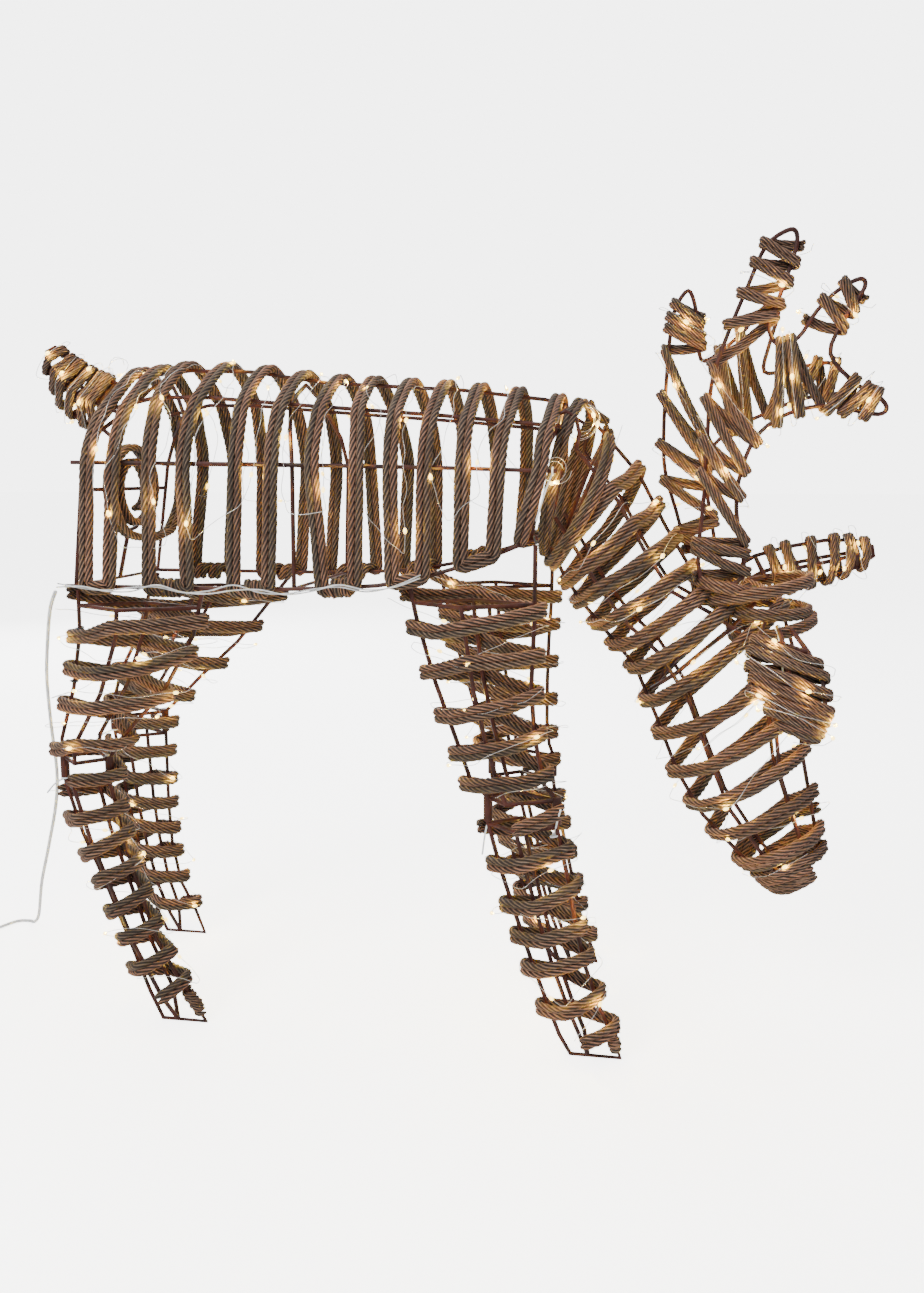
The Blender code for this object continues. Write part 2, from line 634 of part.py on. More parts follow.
def leg_point(leg, z, u, v, dv=0.0):
    """A point on a leg at a height: u from rear -1 to front 1, v from inner -1 to outer 1."""
    line = leg["line"]
    below = next((i for i in range(1, len(line)) if line[i][0] <= z), len(line) - 1)
    (z0, rear0, front0), (z1, rear1, front1) = line[below - 1], line[below]
    share = (z - z0) / (z1 - z0)
    rear = rear0 + (rear1 - rear0) * share
    front = front0 + (front1 - front0) * share
    middle = rear + (front - rear) * (LEG_LEAN if v and not u else 0.5)
    centre = BELLY_Y + (0.400 - z) * 0.02
    thick = 0.010 + 0.050 * min(z, 0.400)
    x = middle + u * (front - rear) / 2.0
    y = leg["side"] * (centre + v * thick + dv)
    return place(x, y, z)


def leg_heights(leg, high, low):
    inner = [z for z, _rear, _front in leg["line"] if low + 0.004 < z < high - 0.004]
    return [high, *inner, low]


def leg_wicker(name, leg, high, low, turns):
    def point_at(s, corner):
        return leg_point(leg, high + (low - high) * s, *corner)
    cord = wound(point_at, FOUR_WIRES, turns, 0.0, 1.0, REACH + SLEEVE_R - WIRE_R)
    tube(name, cord, CORD_R, "cord", ring=CORD_RING)


def upper_leg(name, leg):
    knee = leg["knee"]
    ring_z = knee + WIRE_R + AIR + SLEEVE_LENGTH - 0.003
    wires = []
    for part, u, v, top in (("rear", -1, 0, leg["top"][0]), ("front", 1, 0, leg["top"][1])):
        line = [leg_point(leg, z, u, v) for z in leg_heights(leg, top, ring_z + 0.012)]
        end = leg_point(leg, knee, u, v)
        line.append(Vector((end.x, end.y, ring_z)))
        wires.append(tube(f"{name}_{part}", line, WIRE_R, "wire", group=CUTTERS))
        sleeve_middle = Vector((end.x, end.y, knee + WIRE_R + AIR + SLEEVE_LENGTH / 2.0))
        wires.append(rod(f"{name}_{part}_sleeve", sleeve_middle, SLEEVE_R, SLEEVE_LENGTH, 12, "Z", "wire",
                         group=CUTTERS))
    brace_top = min(leg["top"]) - 0.014
    for part, v in (("outer", 1), ("inner", -1)):
        line = [leg_point(leg, z, 0, v) for z in leg_heights(leg, brace_top, ring_z)]
        wires.append(tube(f"{name}_{part}", line, WIRE_R, "wire", group=CUTTERS))
    for z in (brace_top, ring_z):
        ring = [leg_point(leg, z, u, v) for u, v in FOUR_WIRES]
        if z == ring_z:
            for corner in (0, 2):
                end = leg_point(leg, knee, corner - 1, 0)
                ring[corner] = Vector((end.x, end.y, ring_z))
        wires.append(tube(f"{name}_ring", ring, WIRE_R, "wire", cyclic=True, group=CUTTERS))
    base = wires.pop()
    CUTTERS.objects.unlink(base)
    PARTS.objects.link(base)
    base.hide_render = False
    base.display_type = "TEXTURED"
    bores = []
    for u in (-1, 1):
        end = leg_point(leg, knee, u, 0)
        bore_middle = Vector((end.x, end.y, knee + WIRE_R + AIR + BORE_DEPTH / 2.0 - 0.001))
        bore = rod(f"{name}_bore", bore_middle, BORE_R, BORE_DEPTH + 0.002, 12, "Z", "wire", group=CUTTERS)
        bores.append(bore)
    weld(f"{name}_upper_leg_frame", base, wires, bores)
    leg_wicker(f"{name}_upper_leg_wicker", leg, min(leg["top"]) - 0.026, ring_z + 0.004, leg["turns"][0])


def lower_leg(name, leg):
    knee = leg["knee"]
    peg_top = knee + WIRE_R + AIR + BORE_DEPTH - 0.0015
    foot = leg["line"][-1][0]
    centre = leg["side"] * (BELLY_Y + 0.400 * 0.02)
    outline = []
    for u, reverse in ((-1, False), (1, True)):
        end = leg_point(leg, knee, u, 0)
        line = [Vector((end.x, end.y, peg_top)), end]
        line += [leg_point(leg, z, u, 0) for z in leg_heights(leg, knee, foot)[1:]]
        line.append(place(leg["heel"] if u < 0 else leg["toe"], centre, SOLE_Z))
        outline.extend(reversed(line) if reverse else line)
    base = tube(f"{name}_outline", outline, WIRE_R, "wire")
    others = []
    middle = leg["heel"] + 0.35 * (leg["toe"] - leg["heel"])
    for part, v in (("outer", 1), ("inner", -1)):
        line = [leg_point(leg, z, 0, v) for z in leg_heights(leg, knee, foot)]
        line.append(place(middle, centre, SOLE_Z))
        others.append(tube(f"{name}_{part}_low", line, WIRE_R, "wire", group=CUTTERS))
    ring = [leg_point(leg, knee, u, v) for u, v in FOUR_WIRES]
    others.append(tube(f"{name}_knee_ring", ring, WIRE_R, "wire", cyclic=True, group=CUTTERS))
    low = place(leg["heel"] - 0.03, centre - 0.02, -0.010)
    high = place(leg["toe"] + 0.03, centre + 0.02, 0.0)
    ground = block(f"{name}_ground", low, high, "wire", group=CUTTERS)
    weld(f"{name}_lower_leg_frame", base, others, [ground])
    leg_wicker(f"{name}_lower_leg_wicker", leg, knee - 0.010, foot + 0.010, leg["turns"][1])
    reach = LIGHT_REACH + SLEEVE_R
    lights = [leg_point(leg, z, 0, 1, reach) for z in leg_heights(leg, knee - 0.008, foot + 0.012)]
    light_string(f"{name}_lower_leg_light_string", lights, 0.055)


def lead_and_plug():
    tube("lead_from_body", even_line(LEAD_DROP, LEAD_STEP), LEAD_R, "lead", ring=LEAD_RING)
    tube("lead_to_transformer", even_line(LEAD_END, LEAD_STEP), LEAD_R, "lead", ring=LEAD_RING)
    coil = []
    for step in range(24):
        turn = math.radians(15.0 * step)
        coil.append(place(COIL_CENTRE[0] + COIL_RADIUS * math.cos(turn),
                          COIL_CENTRE[1] + COIL_RADIUS * math.sin(turn), COIL_THICK + 0.0003))
    tube("lead_coil", coil, COIL_THICK, "lead", ring=LEAD_RING, cyclic=True)
    middle = place(*HOUSING_MIDDLE)
    half = Vector(HOUSING) / 2.0
    housing = block("transformer_housing", middle - half, middle + half, "housing")
    bevel = housing.modifiers.new("Bevel", "BEVEL")
    bevel.width = 0.004
    bevel.segments = 2
    end = place(*LEAD_END[-1])
    face = Vector((middle.x + half.x, end.y, end.z))
    sleeve_middle = face + Vector((RELIEF_LENGTH / 2.0 - 0.001, 0.0, 0.0))
    bore_middle = Vector((end.x - 0.0006 + RELIEF_LENGTH / 2.0, end.y, end.z))
    relief = rod("relief", sleeve_middle, RELIEF_R, RELIEF_LENGTH, 16, "X", "housing", group=CUTTERS)
    bore = rod("relief_bore", bore_middle, LEAD_R + AIR, RELIEF_LENGTH, 16, "X", "housing", group=CUTTERS)
    weld("transformer_housing", housing, [relief], [bore])
    for side, y in (("right", -PIN_SPREAD), ("left", PIN_SPREAD)):
        base = middle + Vector((-half.x - PIN_LENGTH / 2.0 - 0.0004, y, 0.0))
        rod(f"plug_pin_{side}", base, PIN_R, PIN_LENGTH, 12, "X", "pin")


body_frame()
body_wicker()
body_and_head_lights()
head_and_neck()
spindle("tail", TAIL, SPINDLE_TURNS["tail"])
spindle("left_ear", LEFT_EAR, SPINDLE_TURNS["left_ear"])
spindle("right_ear", RIGHT_EAR, SPINDLE_TURNS["right_ear"])
antler("right_antler", RIGHT_ANTLER, RIGHT_TINES, RIGHT_ANTLER_Y)
antler("left_antler", LEFT_ANTLER, LEFT_TINES, LEFT_ANTLER_Y)
for leg_name, leg_spec in LEGS.items():
    upper_leg(leg_name, leg_spec)
    lower_leg(leg_name, leg_spec)
lead_and_plug()
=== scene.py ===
"""Looks of the light-up wicker reindeer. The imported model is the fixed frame; this script winds twisted cord
over it, strings the lights, lays the lead and sets a plain studio round it. Metres, +X forward, +Z up."""

import math
import random

import bpy
import numpy as np
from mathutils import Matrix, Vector


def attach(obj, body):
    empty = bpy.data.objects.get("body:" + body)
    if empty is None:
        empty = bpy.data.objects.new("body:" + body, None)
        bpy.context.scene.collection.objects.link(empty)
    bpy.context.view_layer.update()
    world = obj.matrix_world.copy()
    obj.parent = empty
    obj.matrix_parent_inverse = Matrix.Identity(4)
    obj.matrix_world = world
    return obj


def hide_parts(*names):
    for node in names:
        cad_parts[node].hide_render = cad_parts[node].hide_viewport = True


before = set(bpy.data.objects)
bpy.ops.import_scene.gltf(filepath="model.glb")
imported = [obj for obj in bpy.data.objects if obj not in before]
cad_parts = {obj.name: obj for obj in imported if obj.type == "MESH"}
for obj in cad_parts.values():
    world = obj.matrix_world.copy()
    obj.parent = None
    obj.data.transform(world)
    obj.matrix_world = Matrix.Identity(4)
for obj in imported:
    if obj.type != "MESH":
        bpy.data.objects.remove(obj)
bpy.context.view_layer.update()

MID_LENGTH = 0.0401
WIRE_R = 0.0020
STRAND_R = 0.0037
THIN_R = 0.0026  # cord on the tail, ears and antlers
LOOP_R = 0.0032  # cord of the shoulder's loops and the muzzle's tip
CROWN_R = 0.0030  # cord of the crown's loops
PAIR_SPACING = 0.82  # a pair's cords stand this many radii to each side of their route
BOW_GAP = 0.022  # spans longer than this bow out and sag
BOW = 0.02  # share of a span's length that it bows out
SAG = (0.01, 0.06)  # least and most share of a span's length that it sags
REACH = WIRE_R + STRAND_R + 0.0003
THIN_REACH = WIRE_R + THIN_R + 0.0003
SHARP_BEND = 0.87
SLEEVE_R = 0.0040
LIGHT_WIRE_R = 0.00026
LIGHT_OUT = 0.0052  # light string outside the cord's middle line
BULB_R = 0.0017

BELLY_Y = 0.088
MID_Y = 0.092
UPPER_Y = 0.060
RIDGE_LINE = (
    (-0.262, 0.590), (-0.200, 0.596), (-0.140, 0.594), (-0.067, 0.583), (0.058, 0.575),
    (0.132, 0.566), (0.150, 0.561),
)
UPPER_LINE = (
    (-0.248, 0.559), (-0.207, 0.568), (-0.157, 0.567), (-0.065, 0.559), (0.049, 0.550), (0.152, 0.540),
)
MID_LINE = ((-0.274, 0.511), (-0.100, 0.509), (0.054, 0.506), (0.152, 0.503))
BELLY_LINE = (
    (-0.288, 0.402), (-0.100, 0.402), (-0.040, 0.404), (0.000, 0.407), (0.038, 0.414), (0.091, 0.430),
    (0.136, 0.449),
)
# Arches of winding cross the rails at (foot x, middle x, crown x)
ARCHES = (
    (-0.265, -0.256, -0.248), (-0.243, -0.232, -0.225), (-0.204, -0.199, -0.200), (-0.171, -0.166, -0.160),
    (-0.126, -0.122, -0.123), (-0.094, -0.091, -0.089), (-0.048, -0.054, -0.051), (-0.017, -0.015, -0.020),
    (0.015, 0.015, 0.014), (0.040, 0.043, 0.043), (0.072, 0.074, 0.075), (0.099, 0.104, 0.110),
    (0.119, 0.136, 0.143),
)
RUMP_X = -0.2691  # the rump ring stands here in the rear hoop
RUMP_Z = 0.487

# Neck and head: stations of (throat x, z), (nape x, z), half width
HEAD = (
    ((0.138, 0.436), (0.172, 0.550), 0.056),
    ((0.150, 0.412), (0.216, 0.500), 0.056),
    ((0.166, 0.388), (0.240, 0.455), 0.053),
    ((0.190, 0.360), (0.264, 0.416), 0.049),
    ((0.216, 0.330), (0.300, 0.402), 0.047),
    ((0.236, 0.284), (0.342, 0.384), 0.047),
    ((0.256, 0.234), (0.362, 0.322), 0.044),
    ((0.280, 0.194), (0.364, 0.260), 0.038),
    ((0.316, 0.157), (0.376, 0.202), 0.028),
    ((0.348, 0.131), (0.385, 0.157), 0.017),
)
HEAD_WIRES = (
    ("nape_wire", 0), ("cheek_wire_upper_left", 60), ("cheek_wire_lower_left", 120),
    ("throat_wire", 180), ("cheek_wire_lower_right", 240), ("cheek_wire_upper_right", 300),
)
HEAD_TURNS = 13

# Tail and ears: stations of (lower x, y, z), (upper x, y, z), half thickness; the first is the root
TAIL = (
    ((-0.2745, 0.0, 0.5300), (-0.2640, 0.0, 0.5840), 0.004),
    ((-0.294, 0.0, 0.546), (-0.276, 0.0, 0.586), 0.017),
    ((-0.314, 0.0, 0.552), (-0.289, 0.0, 0.591), 0.017),
    ((-0.332, 0.0, 0.570), (-0.305, 0.0, 0.599), 0.014),
    ((-0.341, 0.0, 0.594), (-0.322, 0.0, 0.609), 0.009),
    ((-0.344, 0.0, 0.616), (-0.335, 0.0, 0.620), 0.004),
)
LEFT_EAR = (
    ((0.322, 0.044, 0.390), (0.310, 0.044, 0.420), 0.004),
    ((0.340, 0.062, 0.392), (0.322, 0.058, 0.426), 0.012),
    ((0.362, 0.070, 0.398), (0.350, 0.066, 0.434), 0.013),
    ((0.392, 0.080, 0.405), (0.386, 0.076, 0.440), 0.012),
    ((0.418, 0.088, 0.415), (0.414, 0.086, 0.440), 0.009),
    ((0.433, 0.092, 0.425), (0.431, 0.091, 0.434), 0.004),
)
RIGHT_EAR = (
    ((0.322, -0.060, 0.378), (0.344, -0.060, 0.374), 0.003),
    ((0.316, -0.080, 0.368), (0.356, -0.080, 0.358), 0.010),
    ((0.310, -0.092, 0.352), (0.367, -0.090, 0.336), 0.014),
    ((0.316, -0.103, 0.332), (0.369, -0.100, 0.313), 0.013),
    ((0.330, -0.110, 0.312), (0.362, -0.107, 0.299), 0.009),
    ((0.346, -0.114, 0.297), (0.355, -0.112, 0.292), 0.004),
)
SPINDLE_TURNS = {"tail": 6, "left_ear": 6, "right_ear": 7}

OUTLINE_STEPS = 4  # points on the smooth outline for each point below
FRONT_CLIMB = 0.15  # share of a turn's climb made behind an antler; the rest is in front
# Antlers: a flat closed wire outline each, and the cords' runs of (turns, one side's ends, other
# side's ends),
# where an end is a place along the outline counted in its points
RIGHT_ANTLER_Y = -0.034
RIGHT_ANTLER = (
    (0.270, 0.414), (0.271, 0.486), (0.272, 0.529), (0.274, 0.574), (0.283, 0.607), (0.301, 0.654),
    (0.314, 0.684), (0.332, 0.696), (0.338, 0.690), (0.335, 0.672), (0.325, 0.641), (0.318, 0.622),
    (0.326, 0.606), (0.342, 0.611), (0.356, 0.632), (0.371, 0.647), (0.388, 0.656), (0.392, 0.649),
    (0.379, 0.627), (0.368, 0.598), (0.390, 0.573), (0.404, 0.566), (0.414, 0.555), (0.408, 0.549),
    (0.385, 0.553), (0.361, 0.556), (0.332, 0.548), (0.311, 0.530), (0.300, 0.500), (0.298, 0.470),
    (0.305, 0.414),
)
RIGHT_TINES = {
    "stem": ((4, (0.4, 2.9), (29.6, 27.0)), (5, (3.6, 6.3), (11.0, 8.3))),
    "beam": ((2, (26.2, 25.4), (12.1, 12.7)), (3, (24.7, 23.4), (19.8, 21.1))),
    "fore": ((3, (13.6, 15.7), (18.4, 17.2)),),
}
LEFT_ANTLER_Y = 0.034
LEFT_ANTLER = (
    (0.262, 0.432), (0.249, 0.468), (0.238, 0.505), (0.236, 0.540), (0.237, 0.580), (0.239, 0.618),
    (0.243, 0.645), (0.254, 0.661), (0.261, 0.645), (0.264, 0.619), (0.270, 0.600), (0.300, 0.622),
    (0.314, 0.640), (0.325, 0.648), (0.332, 0.640), (0.326, 0.616), (0.322, 0.590), (0.345, 0.592),
    (0.375, 0.597), (0.387, 0.590), (0.395, 0.580), (0.386, 0.571), (0.354, 0.566), (0.320, 0.552),
    (0.296, 0.540), (0.277, 0.520), (0.276, 0.485), (0.284, 0.432),
)
LEFT_TINES = {
    "stem": ((4, (0.5, 4.0), (26.5, 24.9)), (4, (4.8, 6.3), (9.3, 8.1))),
    "beam": ((2, (24.0, 23.3), (10.4, 11.0)), (3, (22.8, 21.2), (16.6, 18.6))),
}

# Close turns at the foot of each antler, which the CAD leaves out: turns, then both wires' outline steps
ANTLER_BASES = {
    "right_antler": ((2, (0.04, 0.42), (29.96, 29.60)),),
    "left_antler": ((2, (0.04, 0.50), (26.96, 26.52)),),
}

# Legs: stations of height, rear wire x, front wire x, then the foot's heel and toe
LEGS = {
    "right_front": {
        "side": -1, "top": (0.4070, 0.4430), "knee": 0.204, "heel": 0.170, "toe": 0.213, "turns": (6, 6),
        "line": ((0.425, 0.024, 0.134), (0.382, 0.033, 0.134), (0.325, 0.050, 0.132), (0.282, 0.066, 0.135),
                 (0.243, 0.080, 0.143), (0.204, 0.096, 0.155), (0.165, 0.107, 0.164), (0.126, 0.120, 0.171),
                 (0.086, 0.134, 0.180), (0.046, 0.149, 0.194), (0.018, 0.160, 0.207)),
    },
    "left_front": {
        "side": 1, "top": (0.4062, 0.4425), "knee": 0.196, "heel": 0.139, "toe": 0.182, "turns": (6, 6),
        "line": ((0.420, 0.016, 0.132), (0.374, 0.026, 0.131), (0.337, 0.034, 0.129), (0.297, 0.046, 0.128),
                 (0.256, 0.058, 0.128), (0.215, 0.067, 0.132), (0.173, 0.078, 0.138), (0.132, 0.089, 0.147),
                 (0.090, 0.101, 0.156), (0.053, 0.113, 0.164), (0.021, 0.126, 0.175)),
    },
    "right_hind": {
        "side": -1, "top": (0.3985, 0.3985), "knee": 0.222, "heel": -0.208, "toe": -0.166, "turns": (5, 7),
        "line": ((0.400, -0.276, -0.158), (0.360, -0.276, -0.168), (0.310, -0.284, -0.197),
                 (0.262, -0.298, -0.242),
                 (0.222, -0.296, -0.252), (0.174, -0.281, -0.242), (0.132, -0.262, -0.230),
                 (0.075, -0.239, -0.212),
                 (0.026, -0.220, -0.182)),
    },
    "left_hind": {
        "side": 1, "top": (0.3985, 0.3985), "knee": 0.226, "heel": -0.292, "toe": -0.248, "turns": (5, 7),
        "line": ((0.400, -0.281, -0.136), (0.374, -0.294, -0.158), (0.328, -0.310, -0.197),
                 (0.292, -0.330, -0.237),
                 (0.256, -0.341, -0.274), (0.226, -0.341, -0.282), (0.149, -0.330, -0.283),
                 (0.104, -0.321, -0.281),
                 (0.059, -0.311, -0.273), (0.026, -0.303, -0.257)),
    },
}
FOUR_WIRES = ((-1, 0), (0, -1), (1, 0), (0, 1))  # rear, inner, front and outer wires of a limb
LEG_LEAN = 0.45  # the side wires stand at this share of the way from rear to front

# Lead, coil and transformer: the route is part.py's own
LEAD_DIAMETER = 0.0034
LEAD_DROP = (
    (-0.291, -0.100, 0.398), (-0.302, -0.092, 0.380), (-0.320, -0.070, 0.340), (-0.329, -0.058, 0.308),
    (-0.332, -0.050, 0.264), (-0.330, -0.048, 0.220), (-0.334, -0.046, 0.186), (-0.354, -0.030, 0.136),
    (-0.376, -0.010, 0.090), (-0.412, 0.040, 0.034), (-0.440, 0.076, 0.008), (-0.455, 0.090, 0.0022),
    (-0.468, 0.086, 0.0022), (-0.478, 0.066, 0.0022), (-0.486, 0.046, 0.0022),
)
LEAD_END = (
    (-0.519, -0.0125, 0.0022), (-0.545, -0.0185, 0.0022), (-0.571, -0.0180, 0.0022),
    (-0.590, -0.0155, 0.0058),
    (-0.604, -0.0142, 0.0122), (-0.616, -0.0140, 0.0150), (-0.6300, -0.0140, 0.0150),
)
COIL_CENTRE = (-0.532, 0.030)
COIL_RADIUS = 0.0300
COIL_THICK = 0.0100
TURN_PITCH = 0.0036
LAYER_PITCH = 0.0029
COIL_ENTRY = 0.0185  # the lead comes in this far outside the first turn
LOWEST_TURN = 0.0022


def place(x, y, z):
    return Vector((x - MID_LENGTH, y, z))


def height_on(line, x):
    """Height of a rail line at a place along the body."""
    for (x0, z0), (x1, z1) in zip(line, line[1:]):
        if x <= x1:
            return z0 + (z1 - z0) * (x - x0) / (x1 - x0)
    (x0, z0), (x1, z1) = line[-2:]
    return z0 + (z1 - z0) * (x - x0) / (x1 - x0)


# Camera ---------------------------------------------------

def set_camera():
    data = bpy.data.cameras.new("camera")
    data.sensor_fit = "HORIZONTAL"
    data.sensor_width = 36.0
    data.lens = 43.56
    data.dof.use_dof = False
    camera = bpy.data.objects.new("camera", data)
    camera.location = place(0.235, -1.009, 0.500)
    camera.rotation_euler = (math.radians(81.28), 0.0, math.radians(10.0))
    bpy.context.scene.collection.objects.link(camera)
    bpy.context.scene.camera = camera


set_camera()


# Materials ------------------------------------------------

def shader_of(material):
    return material.node_tree.nodes["Principled BSDF"]


def new_material(name, colour, rough, metal=0.0):
    material = bpy.data.materials.new(name)
    material.use_nodes = True
    shader = shader_of(material)
    shader.inputs["Base Color"].default_value = (*colour, 1.0)
    shader.inputs["Roughness"].default_value = rough
    shader.inputs["Metallic"].default_value = metal
    return material


def add_node(material, kind, **values):
    node = material.node_tree.nodes.new(kind)
    for name, value in values.items():
        setattr(node, name, value)
    return node


def wire_up(material, source, target):
    material.node_tree.links.new(source, target)


def object_noise(material, scale, detail=4.0, stretch=(1.0, 1.0, 1.0)):
    """Noise fixed to the piece, stretched along an axis where asked."""
    where = add_node(material, "ShaderNodeTexCoord")
    mapping = add_node(material, "ShaderNodeMapping")
    mapping.inputs["Scale"].default_value = stretch
    noise = add_node(material, "ShaderNodeTexNoise")
    noise.inputs["Scale"].default_value = scale
    noise.inputs["Detail"].default_value = detail
    wire_up(material, where.outputs["Object"], mapping.inputs["Vector"])
    wire_up(material, mapping.outputs["Vector"], noise.inputs["Vector"])
    return noise.outputs["Fac"]


def colour_ramp(material, factor, stops):
    ramp = add_node(material, "ShaderNodeValToRGB")
    while len(ramp.color_ramp.elements) < len(stops):
        ramp.color_ramp.elements.new(0.5)
    for element, (position, colour) in zip(ramp.color_ramp.elements, stops):
        element.position = position
        element.color = (*colour, 1.0)
    wire_up(material, factor, ramp.inputs["Fac"])
    return ramp.outputs["Color"]


def mixed(material, factor, one, other, blend="MIX"):
    node = add_node(material, "ShaderNodeMix", data_type="RGBA", blend_type=blend)
    for socket, value in ((node.inputs["Factor"], factor), (node.inputs[6], one), (node.inputs[7], other)):
        if isinstance(value, (float, int)):
            socket.default_value = value
        elif isinstance(value, tuple):
            socket.default_value = (*value, 1.0)
        else:
            wire_up(material, value, socket)
    return node.outputs[2]


def bumped(material, height, strength, distance):
    bump = add_node(material, "ShaderNodeBump")
    bump.inputs["Strength"].default_value = strength
    bump.inputs["Distance"].default_value = distance
    wire_up(material, height, bump.inputs["Height"])
    wire_up(material, bump.outputs["Normal"], shader_of(material).inputs["Normal"])


def wire_paint():
    """Reddish-brown paint, a little uneven, with rubbed places."""
    material = new_material("wire_paint", (0.03, 0.01, 0.007), 0.5)
    noise = object_noise(material, 60.0)
    colour = colour_ramp(material, noise, ((0.35, (0.014, 0.003, 0.002)), (0.65, (0.052, 0.013, 0.009))))
    wire_up(material, colour, shader_of(material).inputs["Base Color"])
    rough = colour_ramp(material, object_noise(material, 300.0), ((0.3, (0.42,) * 3), (0.7, (0.62,) * 3)))
    wire_up(material, rough, shader_of(material).inputs["Roughness"])
    shader_of(material).inputs["Specular IOR Level"].default_value = 0.18
    bumped(material, object_noise(material, 900.0), 0.15, 0.0004)
    return material


def cord_fibre():
    """Twisted cord: two tones of brown, with painted shade that darkens the grooves between the plies, and
    fine fibres along them.
    """
    material = new_material("cord_fibre", (0.25, 0.17, 0.12), 0.78)
    tone = add_node(material, "ShaderNodeAttribute", attribute_name="tone")
    groove = add_node(material, "ShaderNodeAttribute", attribute_name="groove")
    fibre_place = add_node(material, "ShaderNodeAttribute", attribute_name="fibre")
    fibre = add_node(material, "ShaderNodeTexNoise")
    fibre.inputs["Scale"].default_value = 1.0
    fibre.inputs["Detail"].default_value = 5.0
    fibre.inputs["Roughness"].default_value = 0.65
    wire_up(material, fibre_place.outputs["Vector"], fibre.inputs["Vector"])
    red = colour_ramp(material, fibre.outputs["Fac"],
                      ((0.32, (0.050, 0.019, 0.010)), (0.68, (0.390, 0.205, 0.130))))
    olive = colour_ramp(material, fibre.outputs["Fac"],
                        ((0.32, (0.024, 0.015, 0.009)), (0.68, (0.205, 0.150, 0.104))))
    both = mixed(material, tone.outputs["Fac"], red, olive)
    patches = object_noise(material, 14.0, 2.0)
    patches = colour_ramp(material, patches, ((0.35, (0.66, 0.64, 0.62)), (0.65, (1.22, 1.16, 1.10))))
    both = mixed(material, 1.0, both, patches, "MULTIPLY")
    # Painted shade: where the groove mask is high, the colour goes to near black between the plies
    painted_groove_shade = colour_ramp(material, groove.outputs["Fac"], ((0.16, (0.0,) * 3), (0.74, (1.0,) * 3)))
    dark = mixed(material, painted_groove_shade, both, (0.005, 0.002, 0.001))
    wire_up(material, dark, shader_of(material).inputs["Base Color"])
    shader_of(material).inputs["Specular IOR Level"].default_value = 0.30
    bumped(material, fibre.outputs["Fac"], 0.45, 0.0006)
    return material


def silver_wire():
    material = new_material("light_wire", (0.42, 0.41, 0.40), 0.30, 1.0)
    rough = colour_ramp(material, object_noise(material, 400.0), ((0.3, (0.20,) * 3), (0.7, (0.38,) * 3)))
    wire_up(material, rough, shader_of(material).inputs["Roughness"])
    return material


def seen_or_cast(material, seen, cast):
    """One strength where the camera sees a glowing surface and another for the light it casts."""
    path = add_node(material, "ShaderNodeLightPath")
    blend_node = add_node(material, "ShaderNodeMix", data_type="FLOAT")
    blend_node.inputs[2].default_value = cast
    blend_node.inputs[3].default_value = seen
    wire_up(material, path.outputs["Is Camera Ray"], blend_node.inputs["Factor"])
    return blend_node.outputs[0]


def lamp_glow():
    """Amber resin over a small lamp."""
    material = new_material("lamp_glow", (1.0, 0.85, 0.55), 0.25)
    shader = shader_of(material)
    glow = colour_ramp(material, object_noise(material, 500.0),
                       ((0.2, (1.0, 0.62, 0.06)), (0.8, (1.0, 0.74, 0.12))))
    wire_up(material, glow, shader.inputs["Emission Color"])
    wire_up(material, seen_or_cast(material, 5.0, 430.0), shader.inputs["Emission Strength"])
    return material


def clear_cover():
    """Clear lead cover with the pale cores showing along it."""
    material = new_material("lead_cover", (0.62, 0.64, 0.66), 0.22)
    shader = shader_of(material)
    shader.inputs["Transmission Weight"].default_value = 0.35
    shader.inputs["IOR"].default_value = 1.45
    tone = colour_ramp(material, object_noise(material, 120.0),
                       ((0.3, (0.42, 0.43, 0.44)), (0.7, (0.72, 0.73, 0.74))))
    wire_up(material, tone, shader.inputs["Base Color"])
    return material


def tie_plastic(name, colour):
    material = new_material(name, colour, 0.32)
    rough = colour_ramp(material, object_noise(material, 250.0), ((0.3, (0.22,) * 3), (0.7, (0.42,) * 3)))
    wire_up(material, rough, shader_of(material).inputs["Roughness"])
    return material


def housing_plastic():
    material = new_material("housing_plastic", (0.018, 0.018, 0.020), 0.5)
    bumped(material, object_noise(material, 1800.0), 0.25, 0.0003)
    shade = colour_ramp(material, object_noise(material, 40.0), ((0.3, (0.014,) * 3), (0.7, (0.024,) * 3)))
    wire_up(material, shade, shader_of(material).inputs["Base Color"])
    return material


def pin_brass():
    material = new_material("pin_brass", (0.72, 0.62, 0.40), 0.25, 1.0)
    rough = colour_ramp(material, object_noise(material, 700.0), ((0.3, (0.16,) * 3), (0.7, (0.34,) * 3)))
    wire_up(material, rough, shader_of(material).inputs["Roughness"])
    return material


WIRE = wire_paint()
CORD = cord_fibre()
SILVER = silver_wire()
GLOW = lamp_glow()
CLEAR = clear_cover()
BLACK_TIE = tie_plastic("black_tie", (0.012, 0.012, 0.013))
CLEAR_TIE = tie_plastic("clear_tie", (0.62, 0.65, 0.68))
HOUSING = housing_plastic()
BRASS = pin_brass()


def paint_frame_nodes():
    for name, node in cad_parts.items():
        node.data.materials.clear()
        look = HOUSING if name.startswith("transformer") else BRASS if name.startswith("plug_pin") else WIRE
        node.data.materials.append(look)


# Lines and tubes ------------------------------------------

def smooth_line(points, steps=8, closed=False):
    """A smooth line through every point."""
    p = np.array(points, float)
    if closed:
        p = np.vstack([p[-1], p, p[0], p[1]])
    else:
        p = np.vstack([p[0], p, p[-1]])
    out = []
    for a, b, c, d in zip(p, p[1:], p[2:], p[3:]):
        for k in range(steps):
            t = k / steps
            out.append(0.5 * (2 * b + (c - a) * t + (2 * a - 5 * b + 4 * c - d) * t * t
                              + (3 * b - a - 3 * c + d) * t ** 3))
    if not closed:
        out.append(p[-2])
    return np.array(out)


